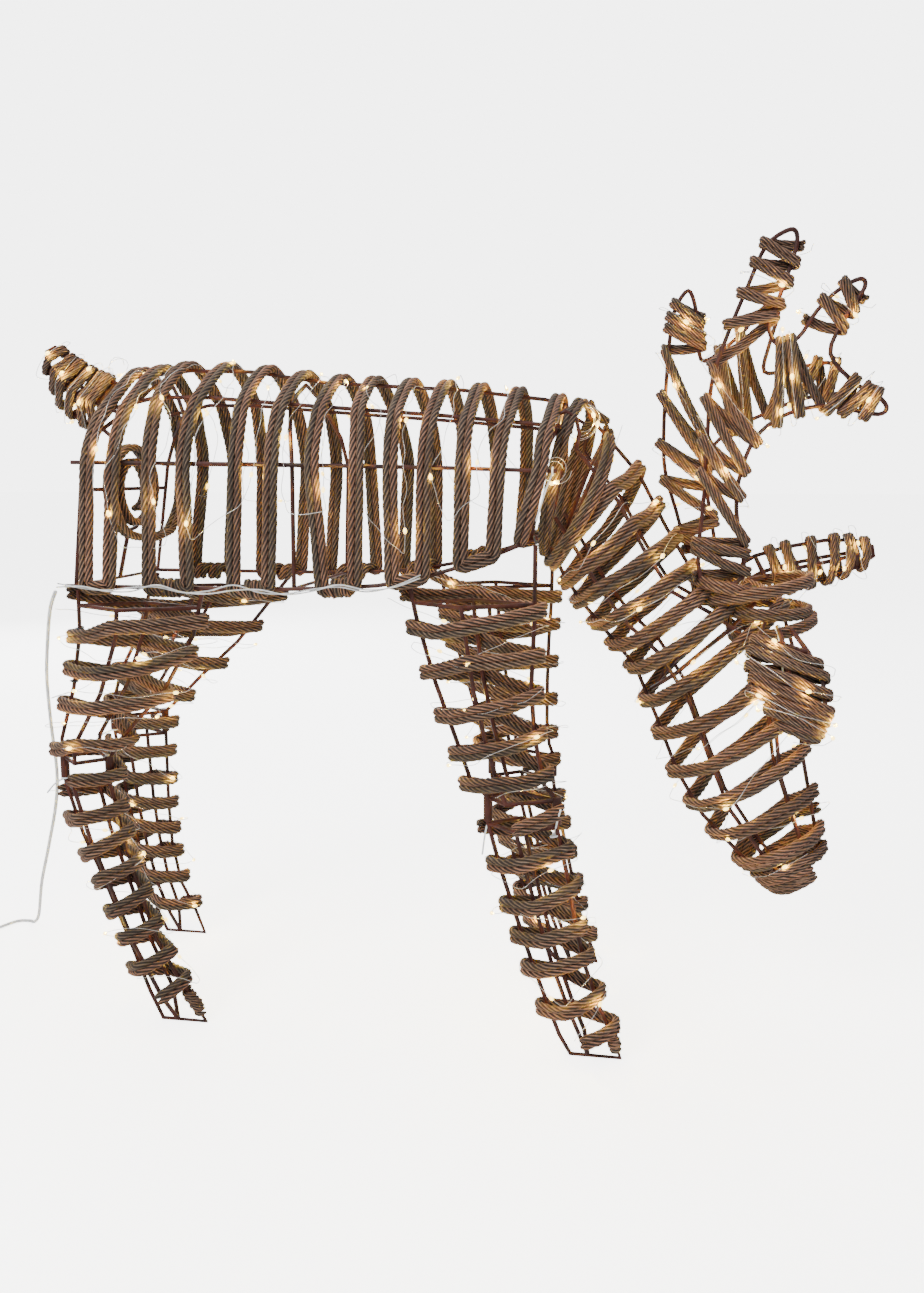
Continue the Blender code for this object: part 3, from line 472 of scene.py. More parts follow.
def rounded(points, corner=0.007, passes=2):
    """Rounds a line's corners near each of its points and leaves its straight runs alone."""
    p = np.array(points, float)
    out = [p[0]]
    for a, b, c in zip(p, p[1:], p[2:]):
        for other in (a, b, c)[::2]:
            gap = np.linalg.norm((other - b)[:3])
            share = min(0.42, corner / max(gap, 1e-6))
            out.append(b + (other - b) * share)
            if other is a:
                out.append(b)
    out.append(p[-1])
    p = np.array(out)
    for _pass in range(passes):
        q = np.empty((2 * len(p) - 2, p.shape[1]))
        q[0::2] = 0.75 * p[:-1] + 0.25 * p[1:]
        q[1::2] = 0.25 * p[:-1] + 0.75 * p[1:]
        p = np.vstack([p[0], q, p[-1]])
    return p


def resampled(points, step):
    p = np.array(points, float)
    gaps = np.linalg.norm(np.diff(p[:, :3], axis=0), axis=1)
    s = np.concatenate([[0.0], np.cumsum(gaps)])
    count = max(2, int(s[-1] / step) + 1)
    at = np.linspace(0.0, s[-1], count)
    return np.stack([np.interp(at, s, p[:, k]) for k in range(p.shape[1])], axis=1), at


def frames_along(p):
    """Two directions across a line at each point, without twist."""
    tangent = np.gradient(p, axis=0)
    tangent /= np.linalg.norm(tangent, axis=1)[:, None] + 1e-12
    across = np.empty_like(p)
    start = np.cross(tangent[0], (0.0, 0.0, 1.0))
    if np.linalg.norm(start) < 0.1:
        start = np.cross(tangent[0], (0.0, 1.0, 0.0))
    last = start / np.linalg.norm(start)
    for k, t in enumerate(tangent):
        last = last - t * (last @ t)
        last /= np.linalg.norm(last) + 1e-12
        across[k] = last
    return tangent, across, np.cross(tangent, across)


def tube_arrays(p, radii, angles, start=0):
    """Vertices and faces of a closed tube: radii and angles are per point and per side."""
    _tangent, one, two = frames_along(p)
    count, sides = radii.shape
    co = (p[:, None, :] + radii[..., None] * (np.cos(angles)[..., None] * one[:, None, :]
                                               + np.sin(angles)[..., None] * two[:, None, :])).reshape(-1, 3)
    i = np.arange(count - 1)[:, None] * sides
    j = np.arange(sides)[None, :]
    k = (j + 1) % sides
    quads = np.stack([i + j, i + k, i + k + sides, i + j + sides], axis=-1).reshape(-1, 4) + start
    caps = [tuple(range(start + sides - 1, start - 1, -1)),
            tuple(range(start + (count - 1) * sides, start + count * sides))]
    return co, quads, caps


class Skein:
    """Gathers closed tubes into one mesh with per-point values."""

    def __init__(self):
        self.co, self.faces, self.values, self.count = [], [], {}, 0

    def add(self, p, radii, angles, **values):
        co, quads, caps = tube_arrays(p, radii, angles, self.count)
        self.co.append(co)
        self.faces.extend(map(tuple, quads.tolist()))
        self.faces.extend(caps)
        self.count += len(co)
        for name, value in values.items():
            self.values.setdefault(name, []).append(value)

    def add_round(self, p, radius, sides=6):
        p = np.array(p, float)
        radii = np.broadcast_to(np.reshape(radius, (-1, 1)), (len(p), sides)).astype(float)
        angles = np.broadcast_to(np.arange(sides) * 2 * math.pi / sides, (len(p), sides))
        self.add(p, radii, angles)

    def build(self, name, material, body, replaces=()):
        mesh = bpy.data.meshes.new(name)
        mesh.from_pydata(np.vstack(self.co).tolist(), [], self.faces)
        for value_name, parts in self.values.items():
            value = np.concatenate(parts)
            kind = "FLOAT_VECTOR" if value.ndim == 2 else "FLOAT"
            layer = mesh.attributes.new(value_name, kind, "POINT")
            field = "vector" if value.ndim == 2 else "value"
            layer.data.foreach_set(field, value.astype(np.float32).ravel())
        mesh.shade_smooth()
        mesh.materials.append(material)
        piece = bpy.data.objects.new(name, mesh)
        bpy.context.scene.collection.objects.link(piece)
        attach(piece, body)
        if replaces:
            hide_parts(*replaces)
        return piece


PLIES = 6
PLY_SHAPE = np.array([0.77, 1.0] * PLIES)
# Groove mask, 1 between the plies: it carries painted shade into the cord's colour
PLY_GROOVE_SHADE = np.array([1.0, 0.0] * PLIES)
PLY_PITCH = 0.044
CORD_STEP = 0.0030


def add_strand(skein, line, tone, rng, radius=STRAND_R):
    """One six-ply cord along a line: real grooves wind round it."""
    p, s = resampled(line, CORD_STEP)
    sides = len(PLY_SHAPE)
    wobble = 1.0 + 0.05 * np.sin(s * rng.uniform(60, 110) + rng.uniform(0, 6))
    twist = 2 * math.pi * s / PLY_PITCH + rng.uniform(0, 6)
    angles = twist[:, None] + np.arange(sides)[None, :] * 2 * math.pi / sides
    radii = radius * wobble[:, None] * PLY_SHAPE[None, :]
    ends = np.clip(np.minimum(s, s[-1] - s) / 0.004, 0.35, 1.0)
    radii = radii * ends[:, None]
    tones = np.clip(tone + 0.25 * np.sin(s * rng.uniform(3, 9) + rng.uniform(0, 6)), 0, 1)
    fibre = np.stack([np.broadcast_to(np.arange(sides) * 2.6, radii.shape),
                      np.broadcast_to(s[:, None] * 160.0, radii.shape),
                      np.full(radii.shape, rng.uniform(0, 90))], axis=-1).reshape(-1, 3)
    # The groove value carries the painted shade between the plies
    skein.add(p, radii, angles, tone=np.repeat(tones, sides), fibre=fibre,
              groove=np.tile(PLY_GROOVE_SHADE, len(p)))


def bowed(route, rng):
    """Long spans from wire to wire bow out and sag a little."""
    line = [route[0]]
    for (here, here_out), (there, there_out) in zip(route, route[1:]):
        gap = (there - here).length
        away = here_out + there_out
        if gap > BOW_GAP and away.length > 0.5:
            away.normalize()
            sag = Vector((0.0, 0.0, gap * rng.uniform(*SAG)))
            line.append(((here + there) / 2.0 + away * (BOW * gap) - sag, away))
        line.append((there, there_out))
    return line


def add_pair(skein, route, rng, radius=STRAND_R):
    """Two cords side by side along a winding route of points and outward directions."""
    line = rounded([(*point, *out) for point, out in bowed(route, rng)])
    line, _s = resampled(line, CORD_STEP)
    point, out = line[:, :3], line[:, 3:]
    tangent = np.gradient(point, axis=0)
    side = np.cross(tangent, out)
    side /= np.linalg.norm(side, axis=1)[:, None] + 1e-12
    tones = (rng.uniform(0.0, 0.35), rng.uniform(0.55, 1.0))
    for sign, tone in zip((-1, 1), tones if rng.random() < 0.7 else tones[::-1]):
        add_strand(skein, point + side * (sign * PAIR_SPACING * radius), tone, rng, radius)


# Winding routes: as in part.py, each point with the direction that faces away from the wires ---

def blend(stations, s):
    """The station at a whole or part step along a list of stations."""
    low = max(0, min(int(s), len(stations) - 2))
    share = s - low
    here, ahead = stations[low], stations[low + 1]
    return tuple(a * (1.0 - share) + b * share for a, b in zip(here, ahead))


def cage_point(stations, s, u, v):
    """A point of a cage's section: u goes from one edge to the other and v to the side."""
    one, other, wide = blend(stations, s)
    half = (other - one) / 2.0
    side = Vector((0.0, 1.0, 0.0))
    side = (side - half * side.dot(half) / half.length_squared).normalized()
    return (one + other) / 2.0 + half * u + side * (wide * v)


def faces_at(point_at, corners, index, s):
    """At a corner wire: its point, the two directions of a cord passing it, and their outward normals."""
    here = point_at(s, corners[index])
    after = (point_at(s, corners[(index + 1) % len(corners)]) - here).normalized()
    before = (here - point_at(s, corners[index - 1])).normalized()
    along = (point_at(s + 0.03, corners[index]) - point_at(s - 0.03, corners[index])).normalized()
    normal_after = along.cross(after).normalized()
    normal_before = along.cross(before).normalized()
    centre = sum((point_at(s, corner) for corner in corners), Vector()) / len(corners)
    if (normal_after + normal_before).dot(here - centre) < -0.0001:
        normal_after = -normal_after
        normal_before = -normal_before
    before /= max(0.35, along.cross(before).length)
    after /= max(0.35, along.cross(after).length)
    return here, before, after, normal_before, normal_after


def past_corner(point_at, corners, index, s, reach):
    """Where a cord passes a wire at a fixed distance: one point, or two where it turns sharply."""
    here, before, after, normal_before, normal_after = faces_at(point_at, corners, index, s)
    both = normal_before + normal_after
    bend = math.acos(min(1.0, both.length / 2.0))
    if bend < SHARP_BEND:
        out = both.normalized()
        return [(here + out * (reach / math.cos(bend)), out)]
    slip = reach * math.tan(bend / 2.0)
    return [(here + normal_before * reach + before * slip, (normal_before + before).normalized()),
            (here + normal_after * reach - after * slip, (normal_after - after).normalized())]


def wound(point_at, corners, turns, start, end, reach=REACH, stray=None, second=None):
    """A cord's route: it climbs the wires while it goes round them from corner to corner."""
    sides = len(corners)
    shares = [index / sides for index in range(sides)]
    if second is not None:
        shares[1] = second
    route = []
    for turn in range(turns):
        for index, share in enumerate(shares):
            off = stray() / sides if stray else 0.0
            s = start + (end - start) * (turn + share + off) / (turns - 1 + shares[-1])
            route.extend(past_corner(point_at, corners, index, s, reach))
    return route


def cage_wires(stations):
    def point_at(s, corner):
        return cage_point(stations, s, *corner)
    return point_at


def solid_stations(stations):
    """Turns written stations into placed points and a width."""
    placed = []
    for one, other, wide in stations:
        if len(one) == 2:
            one = (one[0], 0.0, one[1])
            other = (other[0], 0.0, other[1])
        placed.append((place(*one), place(*other), wide))
    return placed


def along_outline(points, place_on):
    low = int(place_on)
    return points[low].lerp(points[(low + 1) % len(points)], place_on - low)


def leg_point(leg, z, u, v):
    """A point on a leg at a height: u from rear -1 to front 1, v from inner -1 to outer 1."""
    line = leg["line"]
    below = next((i for i in range(1, len(line)) if line[i][0] <= z), len(line) - 1)
    (z0, rear0, front0), (z1, rear1, front1) = line[below - 1], line[below]
    share = (z - z0) / (z1 - z0)
    rear = rear0 + (rear1 - rear0) * share
    front = front0 + (front1 - front0) * share
    middle = rear + (front - rear) * (LEG_LEAN if v and not u else 0.5)
    centre = BELLY_Y + (0.400 - z) * 0.02
    thick = 0.010 + 0.050 * min(z, 0.400)
    return place(middle + u * (front - rear) / 2.0, leg["side"] * (centre + v * thick), z)


HEAD_PLACED = solid_stations(HEAD)
HEAD_CORNERS = [
    (math.cos(math.radians(angle)), math.sin(math.radians(angle))) for _name, angle in HEAD_WIRES
]
HEAD_LAST = len(HEAD) - 1
STRAY = 0.55


def strayed(rng, amount=STRAY):
    return lambda: rng.uniform(-amount, amount)


def arch(places, reach):
    """One arch over the back from the right belly rail to the left: points and outward directions."""
    foot, middle, crown = places
    shoulder = middle + 0.75 * (crown - middle)
    belly_z, middle_z = height_on(BELLY_LINE, foot), height_on(MID_LINE, middle)
    upper_z, ridge_z = height_on(UPPER_LINE, shoulder), height_on(RIDGE_LINE, crown)
    half = (
        (foot, BELLY_Y + reach, belly_z),
        (0.5 * (foot + middle), 0.5 * (BELLY_Y + MID_Y) + reach, 0.5 * (belly_z + middle_z)),
        (middle, MID_Y + reach, middle_z),
        (0.6 * middle + 0.4 * shoulder, 0.5 * (MID_Y + UPPER_Y) + 0.7 * reach + 0.005,
         0.5 * (middle_z + upper_z) + 0.5 * reach + 0.004),
        (shoulder, UPPER_Y + 0.75 * reach, upper_z + 0.75 * reach),
    )
    line = [(x, -y, z) for x, y, z in half]
    line += [(crown, 0.0, ridge_z + reach)]
    line += [(x, y, z) for x, y, z in reversed(half)]
    p = smooth_line([place(*point) for point in line], 4)
    tangent = np.gradient(p, axis=0)
    out = np.cross((1.0, 0.0, 0.0), tangent)
    out /= np.linalg.norm(out, axis=1)[:, None]
    return [(Vector(a), Vector(b)) for a, b in zip(p, out)]


def rump_loops():
    """Two turns on the front of the rump ring, and the way out over the left belly rail."""
    x = RUMP_X + REACH + 0.002
    route = []
    for step in range(33):
        turn = math.pi * step / 8.0
        wide = 0.022 + 0.015 * step / 16.0
        high = 0.019 + 0.0135 * step / 16.0
        spot = place(x, wide * math.sin(turn), RUMP_Z - high * math.cos(turn))
        route.append((spot, Vector((0.0, math.sin(turn), -math.cos(turn)))))
    route.append((place(x + 0.002, 0.070, RUMP_Z - 0.043), Vector((0.0, 0.0, -1.0))))
    return route


def along_rail(x0, x1, side):
    """The cord winds twice round the belly rail on its way to the next arch."""
    route = []
    if x1 - x0 < 0.020:
        return route
    for step in range(1, 16):
        share = step / 16.0
        x = x0 + (x1 - x0) * share
        turn = 4.0 * math.pi * share
        out = Vector((0.0, side * math.cos(turn), -math.sin(turn)))
        route.append((place(x, side * BELLY_Y, height_on(BELLY_LINE, x)) + out * REACH, out))
    return route


def wind_body(rng):
    skein = Skein()
    route = rump_loops()
    for index, places in enumerate(ARCHES):
        over = arch([x + rng.uniform(-0.002, 0.002) for x in places], REACH)
        side = -1.0
        if index % 2 == 0:
            over = over[::-1]
        else:
            side = 1.0
        route.extend(over[5:] if index == 0 else over)
        if index < len(ARCHES) - 1:
            route.extend(along_rail(places[0] + 0.004, ARCHES[index + 1][0] - 0.004, side))
    add_pair(skein, route, rng)
    skein.build("body_cord", CORD, "figure", ["body_wicker"])


# Loose loops over the neck's and head's own turns: (step along the neck, tilt, half width), and the
# head's crown
SHOULDER_LOOPS = ((-0.12, 0.16, 1.08), (0.22, -0.38, 1.02))
CROWN_LOOPS = (
    ((0.262, 0.412), (0.330, 0.398), 0.050), ((0.270, 0.392), (0.366, 0.412), 0.054),
    ((0.292, 0.384), (0.366, 0.384), 0.052), ((0.300, 0.360), (0.370, 0.378), 0.056),
)
TIP_TURNS = (3, 7.95, 9.02)


def shoulder_route():
    """Tilted turns that hide the neck's first ring and hold it to the body."""
    route = []
    for middle, tilt, wide in SHOULDER_LOOPS:
        for step in range(16):
            turn = 2.0 * math.pi * step / 16.0
            u, v = math.cos(turn), math.sin(turn)
            spot = cage_point(HEAD_PLACED, middle + tilt * v, u * 1.06, v * wide)
            out = (spot - cage_point(HEAD_PLACED, middle, 0.0, 0.0)).normalized()
            route.append((spot + out * REACH, out))
    return route


def crown_route():
    """Turns that bind the antlers and ears to the top of the head."""
    route = []
    for (x0, z0), (x1, z1), wide in CROWN_LOOPS:
        for step in range(16):
            turn = 2.0 * math.pi * step / 16.0
            share = 0.5 - 0.5 * math.cos(turn)
            spot = place(x0 + (x1 - x0) * share, -wide * math.sin(turn), z0 + (z1 - z0) * share)
            route.append((spot, Vector((-math.cos(turn), -math.sin(turn), 0.2)).normalized()))
    return route


def wind_head(rng):
    skein = Skein()
    cage = cage_wires(HEAD_PLACED)
    route = wound(cage, HEAD_CORNERS, HEAD_TURNS, 0.25, HEAD_LAST - 0.1, REACH, strayed(rng, 0.3))
    add_pair(skein, route, rng)
    tip = wound(cage, HEAD_CORNERS, *TIP_TURNS, REACH, strayed(rng, 0.3))
    add_pair(skein, tip, rng, LOOP_R)
    add_pair(skein, shoulder_route(), rng, LOOP_R)
    add_pair(skein, crown_route(), rng, CROWN_R)
    skein.build("neck_and_head_cord", CORD, "figure", ["neck_and_head_wicker"])


def wind_spindle(name, stations, turns, rng):
    placed = solid_stations(stations)
    skein = Skein()
    route = wound(cage_wires(placed), FOUR_WIRES, turns, 1.15, len(placed) - 1.4, THIN_REACH, strayed(rng))
    add_pair(skein, route, rng, THIN_R)
    skein.build(f"{name}_cord", CORD, "figure", [f"{name}_wicker"])


def tine_wires(wire, one, other):
    def point_at(s, corner):
        low, high = other if corner else one
        return along_outline(wire, (low + (high - low) * s) * OUTLINE_STEPS)
    return point_at


def antler_wire(outline, y):
    return [Vector(p) for p in smooth_line([place(x, y, z) for x, z in outline], OUTLINE_STEPS, closed=True)]


def wind_antler(name, outline, tines, y, rng):
    wire = antler_wire(outline, y)
    for tine, runs in tines.items():
        skein = Skein()
        route = []
        base = ANTLER_BASES[name] if tine == "stem" else ()
        for turns, one, other in base + runs:
            route.extend(wound(tine_wires(wire, one, other), (0, 1), turns, 0.04, 0.96, THIN_REACH,
                               strayed(rng, 0.3), FRONT_CLIMB))
        add_pair(skein, route, rng, THIN_R)
        skein.build(f"{name}_{tine}_cord", CORD, "figure", [f"{name}_{tine}_wicker"])


def toe_turns(leg, foot):
    """The cord's end is wound close round the front wire down to the toe."""
    top = leg_point(leg, foot + 0.004, 1, 0)
    tip = place(leg["toe"] - 0.004, leg["side"] * 0.096, 0.0105)
    route = []
    for step in range(25):
        turn = 2.0 * math.pi * step / 8.0
        out = Vector((0.8 * math.cos(turn), math.sin(turn), 0.35 * math.cos(turn)))
        route.append((top.lerp(tip, step / 24.0) + out * (WIRE_R + THIN_R), out.normalized()))
    return route


def wind_leg(name, leg, rng):
    knee = leg["knee"]
    foot = leg["line"][-1][0]
    parts = (("upper", min(leg["top"]) - 0.004, knee + 0.008, leg["turns"][0], "figure"),
             ("lower", knee - 0.006, foot + 0.004, leg["turns"][1], f"{name}_lower_leg"))
    for part, high, low, turns, body in parts:
        def point_at(s, corner, high=high, low=low):
            return leg_point(leg, high + (low - high) * s, *corner)
        skein = Skein()
        route = wound(point_at, FOUR_WIRES, turns, 0.0, 1.0, REACH + SLEEVE_R - WIRE_R, strayed(rng))
        add_pair(skein, route, rng)
        if part == "lower" and leg["side"] < 0:
            add_pair(skein, toe_turns(leg, foot), rng, THIN_R)
        skein.build(f"{name}_{part}_leg_cord", CORD, body, [f"{name}_{part}_leg_wicker"])


# Lights ---------------------------------------------------

def lamp_shape(skein, middle, direction):
    """A small drop of clear resin round its chip, on the wire."""
    along = np.array(direction) / np.linalg.norm(direction)
    offsets = np.array((-1.0, -0.8, -0.4, 0.1, 0.6, 0.9, 1.0)) * 0.0026
    radii = np.sqrt(np.clip(1.0 - (offsets / 0.00262) ** 2, 0.02, 1.0)) * BULB_R
    skein.add_round(np.array(middle)[None, :] + offsets[:, None] * along[None, :], radii, 8)


def string_lights(name, line, body, rng, spacing, replaces=(), loose=1.0):
    """A thin wandering wire with a lamp at about each spacing."""
    p, s = resampled(line, 0.0045)
    wander = np.zeros((len(s), 3))
    for size, pace in ((0.0042, 22.0), (0.0022, 60.0), (0.0010, 150.0)):
        for axis in range(3):
            wander[:, axis] += loose * size * np.sin(s * pace * rng.uniform(0.7, 1.3) + rng.uniform(0, 6))
    p = p + wander
    skein = Skein()
    skein.add_round(p, LIGHT_WIRE_R, 5)
    skein.build(f"{name}_light_wire", SILVER, body, replaces)
    lamps = Skein()
    at = rng.uniform(0.3, 0.7) * spacing
    while at < s[-1] - 0.004:
        k = int(at / 0.0045)
        k = min(max(k, 1), len(p) - 2)
        lamp_shape(lamps, p[k], p[k + 1] - p[k - 1])
        at += spacing * rng.uniform(0.85, 1.15)
    lamps.build(f"{name}_lamps", GLOW, body, ())


def light_route(point_at, corners, turns, start, end, rng, reach):
    """A loose route outside a winding: few turns, and well strayed."""
    route = wound(point_at, corners, turns, start, end, reach, strayed(rng, 1.8))
    return rounded([tuple(point) for point, _out in route], 0.012)


def light_body(rng):
    """Back and forth over the flanks and the ridge, with stretches along the rails."""
    line = []
    out = REACH + LIGHT_OUT
    for index in range(1, 12):
        shift = rng.uniform(0.008, 0.020)
        over = arch([x + shift for x in ARCHES[index - 1]], out)
        low, high = rng.randint(1, 6), len(over) - 1 - rng.randint(1, 6)
        picked = [over[k][0] + Vector((rng.uniform(-0.011, 0.011), 0, 0)) for k in range(low, high + 1, 4)]
        line.extend(picked if index % 2 else picked[::-1])
    route = rounded([tuple(point) for point in line], 0.012)
    string_lights("body", route, "figure", rng, 0.105, ["body_and_head_light_string"])


def light_everything(rng):
    out = REACH + LIGHT_OUT
    light_body(rng)
    route = light_route(cage_wires(HEAD_PLACED), HEAD_CORNERS, 9, 0.5, HEAD_LAST - 0.5, rng, out)
    string_lights("neck_and_head", route, "figure", rng, 0.085)
    for name, stations in (("tail", TAIL), ("left_ear", LEFT_EAR), ("right_ear", RIGHT_EAR)):
        placed = solid_stations(stations)
        route = light_route(cage_wires(placed), FOUR_WIRES, 4, 1.2, len(placed) - 1.5, rng, out)
        string_lights(name, route, "figure", rng, 0.080, loose=0.4)
    for name, outline, tines, y in ANTLERS:
        wire = antler_wire(outline, y)
        for tine, runs in tines.items():
            line = []
            for turns, one, other in runs:
                few = max(2, turns // 2)
                line.extend(wound(tine_wires(wire, one, other), (0, 1), few, 0.05, 0.95, out,
                                  strayed(rng, 0.4)))
            route = rounded([tuple(point) for point, _out in line], 0.010)
            string_lights(f"{name}_{tine}", route, "figure", rng, 0.075, loose=0.5)
    for name, leg in LEGS.items():
        knee, foot = leg["knee"], leg["line"][-1][0]
        parts = (("upper", min(leg["top"]) - 0.018, knee + 0.030, "figure", ()),
                 ("lower", knee - 0.008, foot + 0.012, f"{name}_lower_leg",
                  (f"{name}_lower_leg_light_string",)))
        for part, high, low, body, stands_for in parts:
            def point_at(s, corner, high=high, low=low, leg=leg):
                return leg_point(leg, high + (low - high) * s, *corner)
            route = light_route(point_at, FOUR_WIRES, 4, 0.0, 1.0, rng, out + SLEEVE_R - WIRE_R)
            string_lights(f"{name}_{part}_leg", route, body, rng, 0.095, stands_for)


CURLS = (
    ((0.166, -0.030, 0.546), 0.014, 4), ((-0.262, -0.020, 0.598), 0.009, 2),
    ((0.150, -0.080, 0.505), 0.010, 2),
)


def loose_curls(rng):
    """Spare light wire gathered in small loops where the string passes from piece to piece."""
    for index, (middle, size, turns) in enumerate(CURLS):
        centre = place(*middle)
        line = []
        for step in range(14 * turns + 1):
            turn = 2.0 * math.pi * step / 14.0
            grow = size * (0.7 + 0.5 * step / (14.0 * turns))
            tip = Vector((grow * math.cos(turn), 0.35 * grow * math.sin(turn + index),
                          grow * math.sin(turn)))
            line.append(tuple(centre + tip))
        string_lights(f"curl_{index}", smooth_line(line, 3), "figure", rng, 0.060, loose=0.4)


# Ties and the lead's run under the belly ------------------

BLACK_TIES = (  # where, and the wire's direction there
    ((-0.2760, -0.0890, 0.3640), (0.0, 0.0, 1.0)), ((-0.2830, -0.0905, 0.3160), (0.12, 0.0, 1.0)),
    ((-0.2630, 0.0, 0.5870), (1.0, 0.0, 0.3)), ((0.3100, -0.0340, 0.5290), (0.6, 0.0, 1.0)),
    ((0.1340, -0.0880, 0.4470), (1.0, 0.0, 0.4)), ((0.1490, 0.0485, 0.5520), (1.0, 0.0, 0.2)),
)
CLEAR_TIES = (  # where, the wire's direction there, and the cut tail
    ((0.0960, -0.0920, 0.2080), (-0.3, 0.0, 1.0), (-0.004, -0.010, -0.030)),
    ((0.1530, -0.0925, 0.1960), (-0.2, 0.0, 1.0), (0.006, -0.012, 0.026)),
    ((0.1480, -0.0920, 0.5030), (1.0, 0.0, 0.0), (-0.012, -0.014, -0.040)),
    ((0.3330, -0.0640, 0.3740), (1.0, 0.0, -0.2), (0.004, -0.026, -0.040)),
    ((-0.3400, 0.0900, 0.2280), (0.0, 0.0, 1.0), (-0.022, -0.004, -0.012)),
    ((-0.2960, -0.0925, 0.2260), (0.0, 0.0, 1.0), (-0.016, -0.008, -0.014)),
)


def strap(skein, middle, axis, tail=None):
    """A cable tie: a band round a wire, its head, and the tail where it is left long."""
    axis = Vector(axis).normalized()
    one = axis.cross(Vector((0.0, 1.0, 0.0))).normalized()
    two = axis.cross(one)
    ring = 0.0031
    circle = [middle + (one * math.cos(t) + two * math.sin(t)) * ring
              for t in np.linspace(0.0, 2.0 * math.pi, 17)]
    skein.add_round([tuple(p) for p in circle], 0.00075, 6)
    head = middle - two * (ring + 0.0008)
    skein.add_round([tuple(head - one * 0.0018), tuple(head + one * 0.0018)], 0.0017, 4)
    if tail is not None:
        end = head + Vector(tail)
        bow = (head + end) / 2.0 + Vector((0.0, -0.003, 0.002))
        skein.add_round(smooth_line([head, bow, end], 5), 0.00085, 5)


def fasten_ties():
    black = Skein()
    for middle, axis in BLACK_TIES:
        strap(black, place(*middle), axis)
    black.build("black_ties", BLACK_TIE, "figure")
    clear = Skein()
    for middle, axis, tail in CLEAR_TIES:
        strap(clear, place(*middle), axis, tail)
    clear.build("clear_ties", CLEAR_TIE, "figure")


def run_lead_under_belly(rng):
    """The lead's two cores hang loosely along the right belly rail to the rear corner."""
    skein = Skein()
    for core in range(2):
        line = []
        for step in range(15):
            x = 0.040 - 0.328 * step / 14.0
            sag = 0.007 * abs(math.sin(step * 0.9 + core * 0.5)) + rng.uniform(-0.001, 0.001)
            line.append(place(x, -BELLY_Y - 0.0130 - 0.002 * core, height_on(BELLY_LINE, x) + 0.004 - sag))
        skein.add_round(smooth_line([tuple(p) for p in line], 5), 0.0007, 6)
    skein.build("lead_run", CLEAR, "figure", ())


ANTLERS = (("right_antler", RIGHT_ANTLER, RIGHT_TINES, RIGHT_ANTLER_Y),
           ("left_antler", LEFT_ANTLER, LEFT_TINES, LEFT_ANTLER_Y))


# Lead and transformer -------------------------------------

def coil_turns():
    """Places of the turns in the coil's section: layers of a round bundle, from the floor up."""
    middle = COIL_THICK + 0.0003
    room = COIL_THICK - LEAD_DIAMETER / 2.0
    turns = []
    layer = 0
    z = LOWEST_TURN
    while z <= middle + room:
        half = math.sqrt(max(0.0, room ** 2 - (z - middle) ** 2)) + 0.0004
        shift = TURN_PITCH / 2.0 * (layer % 2)
        row = [k * TURN_PITCH + shift for k in range(-4, 4) if abs(k * TURN_PITCH + shift) <= half]
        turns.extend((COIL_RADIUS + r, z) for r in (row if layer % 2 == 0 else row[::-1]))
        layer += 1
        z = LOWEST_TURN + layer * LAYER_PITCH
    return turns


def lead_route():
    """Down from the belly's rear corner, along the floor, round the coil and on to the transformer."""
    start, steps = math.radians(8.0), 24
    turns = coil_turns()
    coil = []
    angle = start
    for k, (radius, z) in enumerate(turns):
        ahead = turns[min(k + 1, len(turns) - 1)]
        for step in range(steps):
            share = max(0.0, (step - steps * 0.6) / (steps * 0.4))
            share = share * share * (3 - 2 * share)
            r, h = radius + (ahead[0] - radius) * share, z + (ahead[1] - z) * share
            r += COIL_ENTRY * max(0.0, 1.0 - (k * steps + step) / 20.0)
            coil.append((COIL_CENTRE[0] + r * math.cos(angle), COIL_CENTRE[1] + r * math.sin(angle), h))
            angle -= 2 * math.pi / steps
    middle, off = COIL_THICK + 0.0003, COIL_THICK + LEAD_DIAMETER / 2.0 + 0.0004
    for step in range(1, 9):
        tilt = math.radians(90.0 - 133.0 * step / 8.0)
        r, h = COIL_RADIUS + off * math.cos(tilt), middle + off * math.sin(tilt)
        turn = angle - math.radians(63.0) * step / 8.0
        coil.append((COIL_CENTRE[0] + r * math.cos(turn), COIL_CENTRE[1] + r * math.sin(turn),
                     max(h, LOWEST_TURN)))
    drop = smooth_line(LEAD_DROP, 4)
    end = smooth_line(LEAD_END, 4)
    route = [tuple(p) for p in drop] + coil + [tuple(p) for p in end]
    return smooth_line([place(*p) for p in route], 2)


def lay_lead():
    path = lead_route()
    skein = Skein()
    skein.add_round(path, LEAD_DIAMETER / 2.0, 8)
    replaced = ["lead_from_body", "lead_coil", "lead_to_transformer"]
    lead = skein.build("lead", CLEAR, "figure", replaced)


# Studio ---------------------------------------------------

def pale_floor():
    """Matt white, lit from under as a light table is, so that it meets the white behind it."""
    material = new_material("pale_floor", (0.90, 0.90, 0.90), 0.9)
    shader = shader_of(material)
    shader.inputs["Emission Color"].default_value = (1.0, 1.0, 1.0, 1.0)
    wire_up(material, seen_or_cast(material, 4.2, 0.05), shader.inputs["Emission Strength"])
    return material


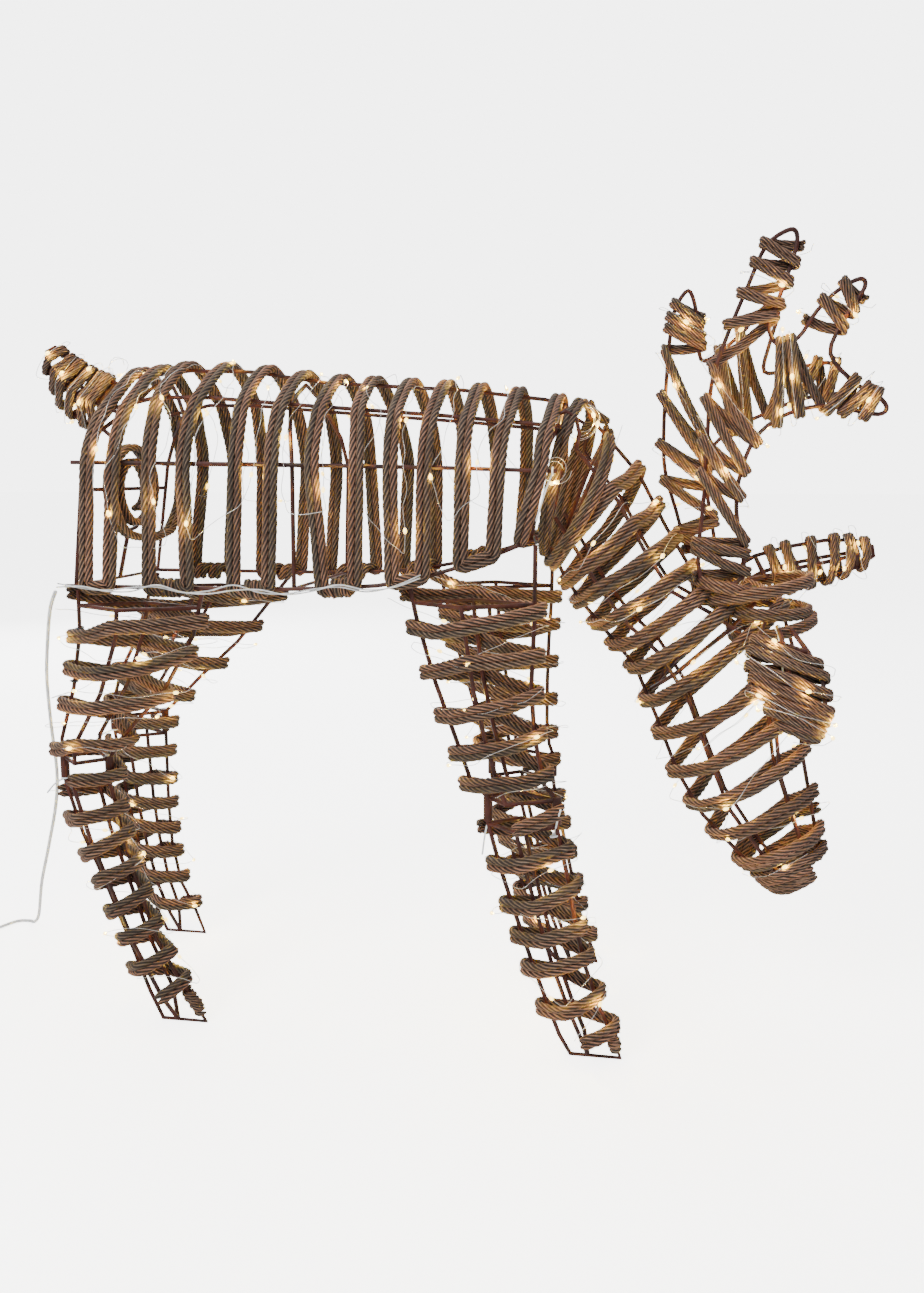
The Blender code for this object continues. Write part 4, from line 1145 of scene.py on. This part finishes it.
def area_light(name, position, aim, size, power, colour=(1.0, 1.0, 1.0)):
    data = bpy.data.lights.new(name, "AREA")
    data.shape = "DISK"
    data.size = size
    data.energy = power
    data.color = colour
    light = bpy.data.objects.new(name, data)
    light.location = position
    light.rotation_euler = (Vector(aim) - Vector(position)).to_track_quat("-Z", "Y").to_euler()
    bpy.context.scene.collection.objects.link(light)


def set_studio():
    world = bpy.data.worlds.new("studio")
    bpy.context.scene.world = world
    world.use_nodes = True
    world.node_tree.nodes["Background"].inputs["Color"].default_value = (1.0, 1.0, 1.0, 1.0)
    strength = world.node_tree.nodes["Background"].inputs["Strength"]
    world.node_tree.links.new(seen_or_cast(world, 5.2, 0.80), strength)
    mesh = bpy.data.meshes.new("floor")
    mesh.from_pydata([(-30, -30, 0), (30, -30, 0), (30, 30, 0), (-30, 30, 0)], [], [(0, 1, 2, 3)])
    mesh.materials.append(pale_floor())
    floor = bpy.data.objects.new("floor", mesh)
    bpy.context.scene.collection.objects.link(floor)
    area_light("key", (-1.2, -2.2, 2.2), (0, 0, 0.35), 1.4, 120.0)
    area_light("fill", (2.2, -1.6, 1.2), (0, 0, 0.35), 1.8, 30.0)
    area_light("top", (0.0, 0.6, 2.8), (0, 0, 0.3), 2.0, 40.0)
    area_light("back", (-1.6, 2.2, 1.4), (0, 0, 0.35), 1.8, 70.0)


# Build ----------------------------------------------------

lay_lead()
paint_frame_nodes()
wind_body(random.Random(11))
wind_head(random.Random(12))
for spindle_name, spindle in (("tail", TAIL), ("left_ear", LEFT_EAR), ("right_ear", RIGHT_EAR)):
    wind_spindle(spindle_name, spindle, SPINDLE_TURNS[spindle_name], random.Random(13))
for antler_name, antler_outline, antler_tines, antler_y in ANTLERS:
    wind_antler(antler_name, antler_outline, antler_tines, antler_y, random.Random(14))
for leg_name, leg_spec in LEGS.items():
    wind_leg(leg_name, leg_spec, random.Random(15 + len(leg_name)))
light_everything(random.Random(21))
loose_curls(random.Random(22))
fasten_ties()
run_lead_under_belly(random.Random(23))
set_studio()
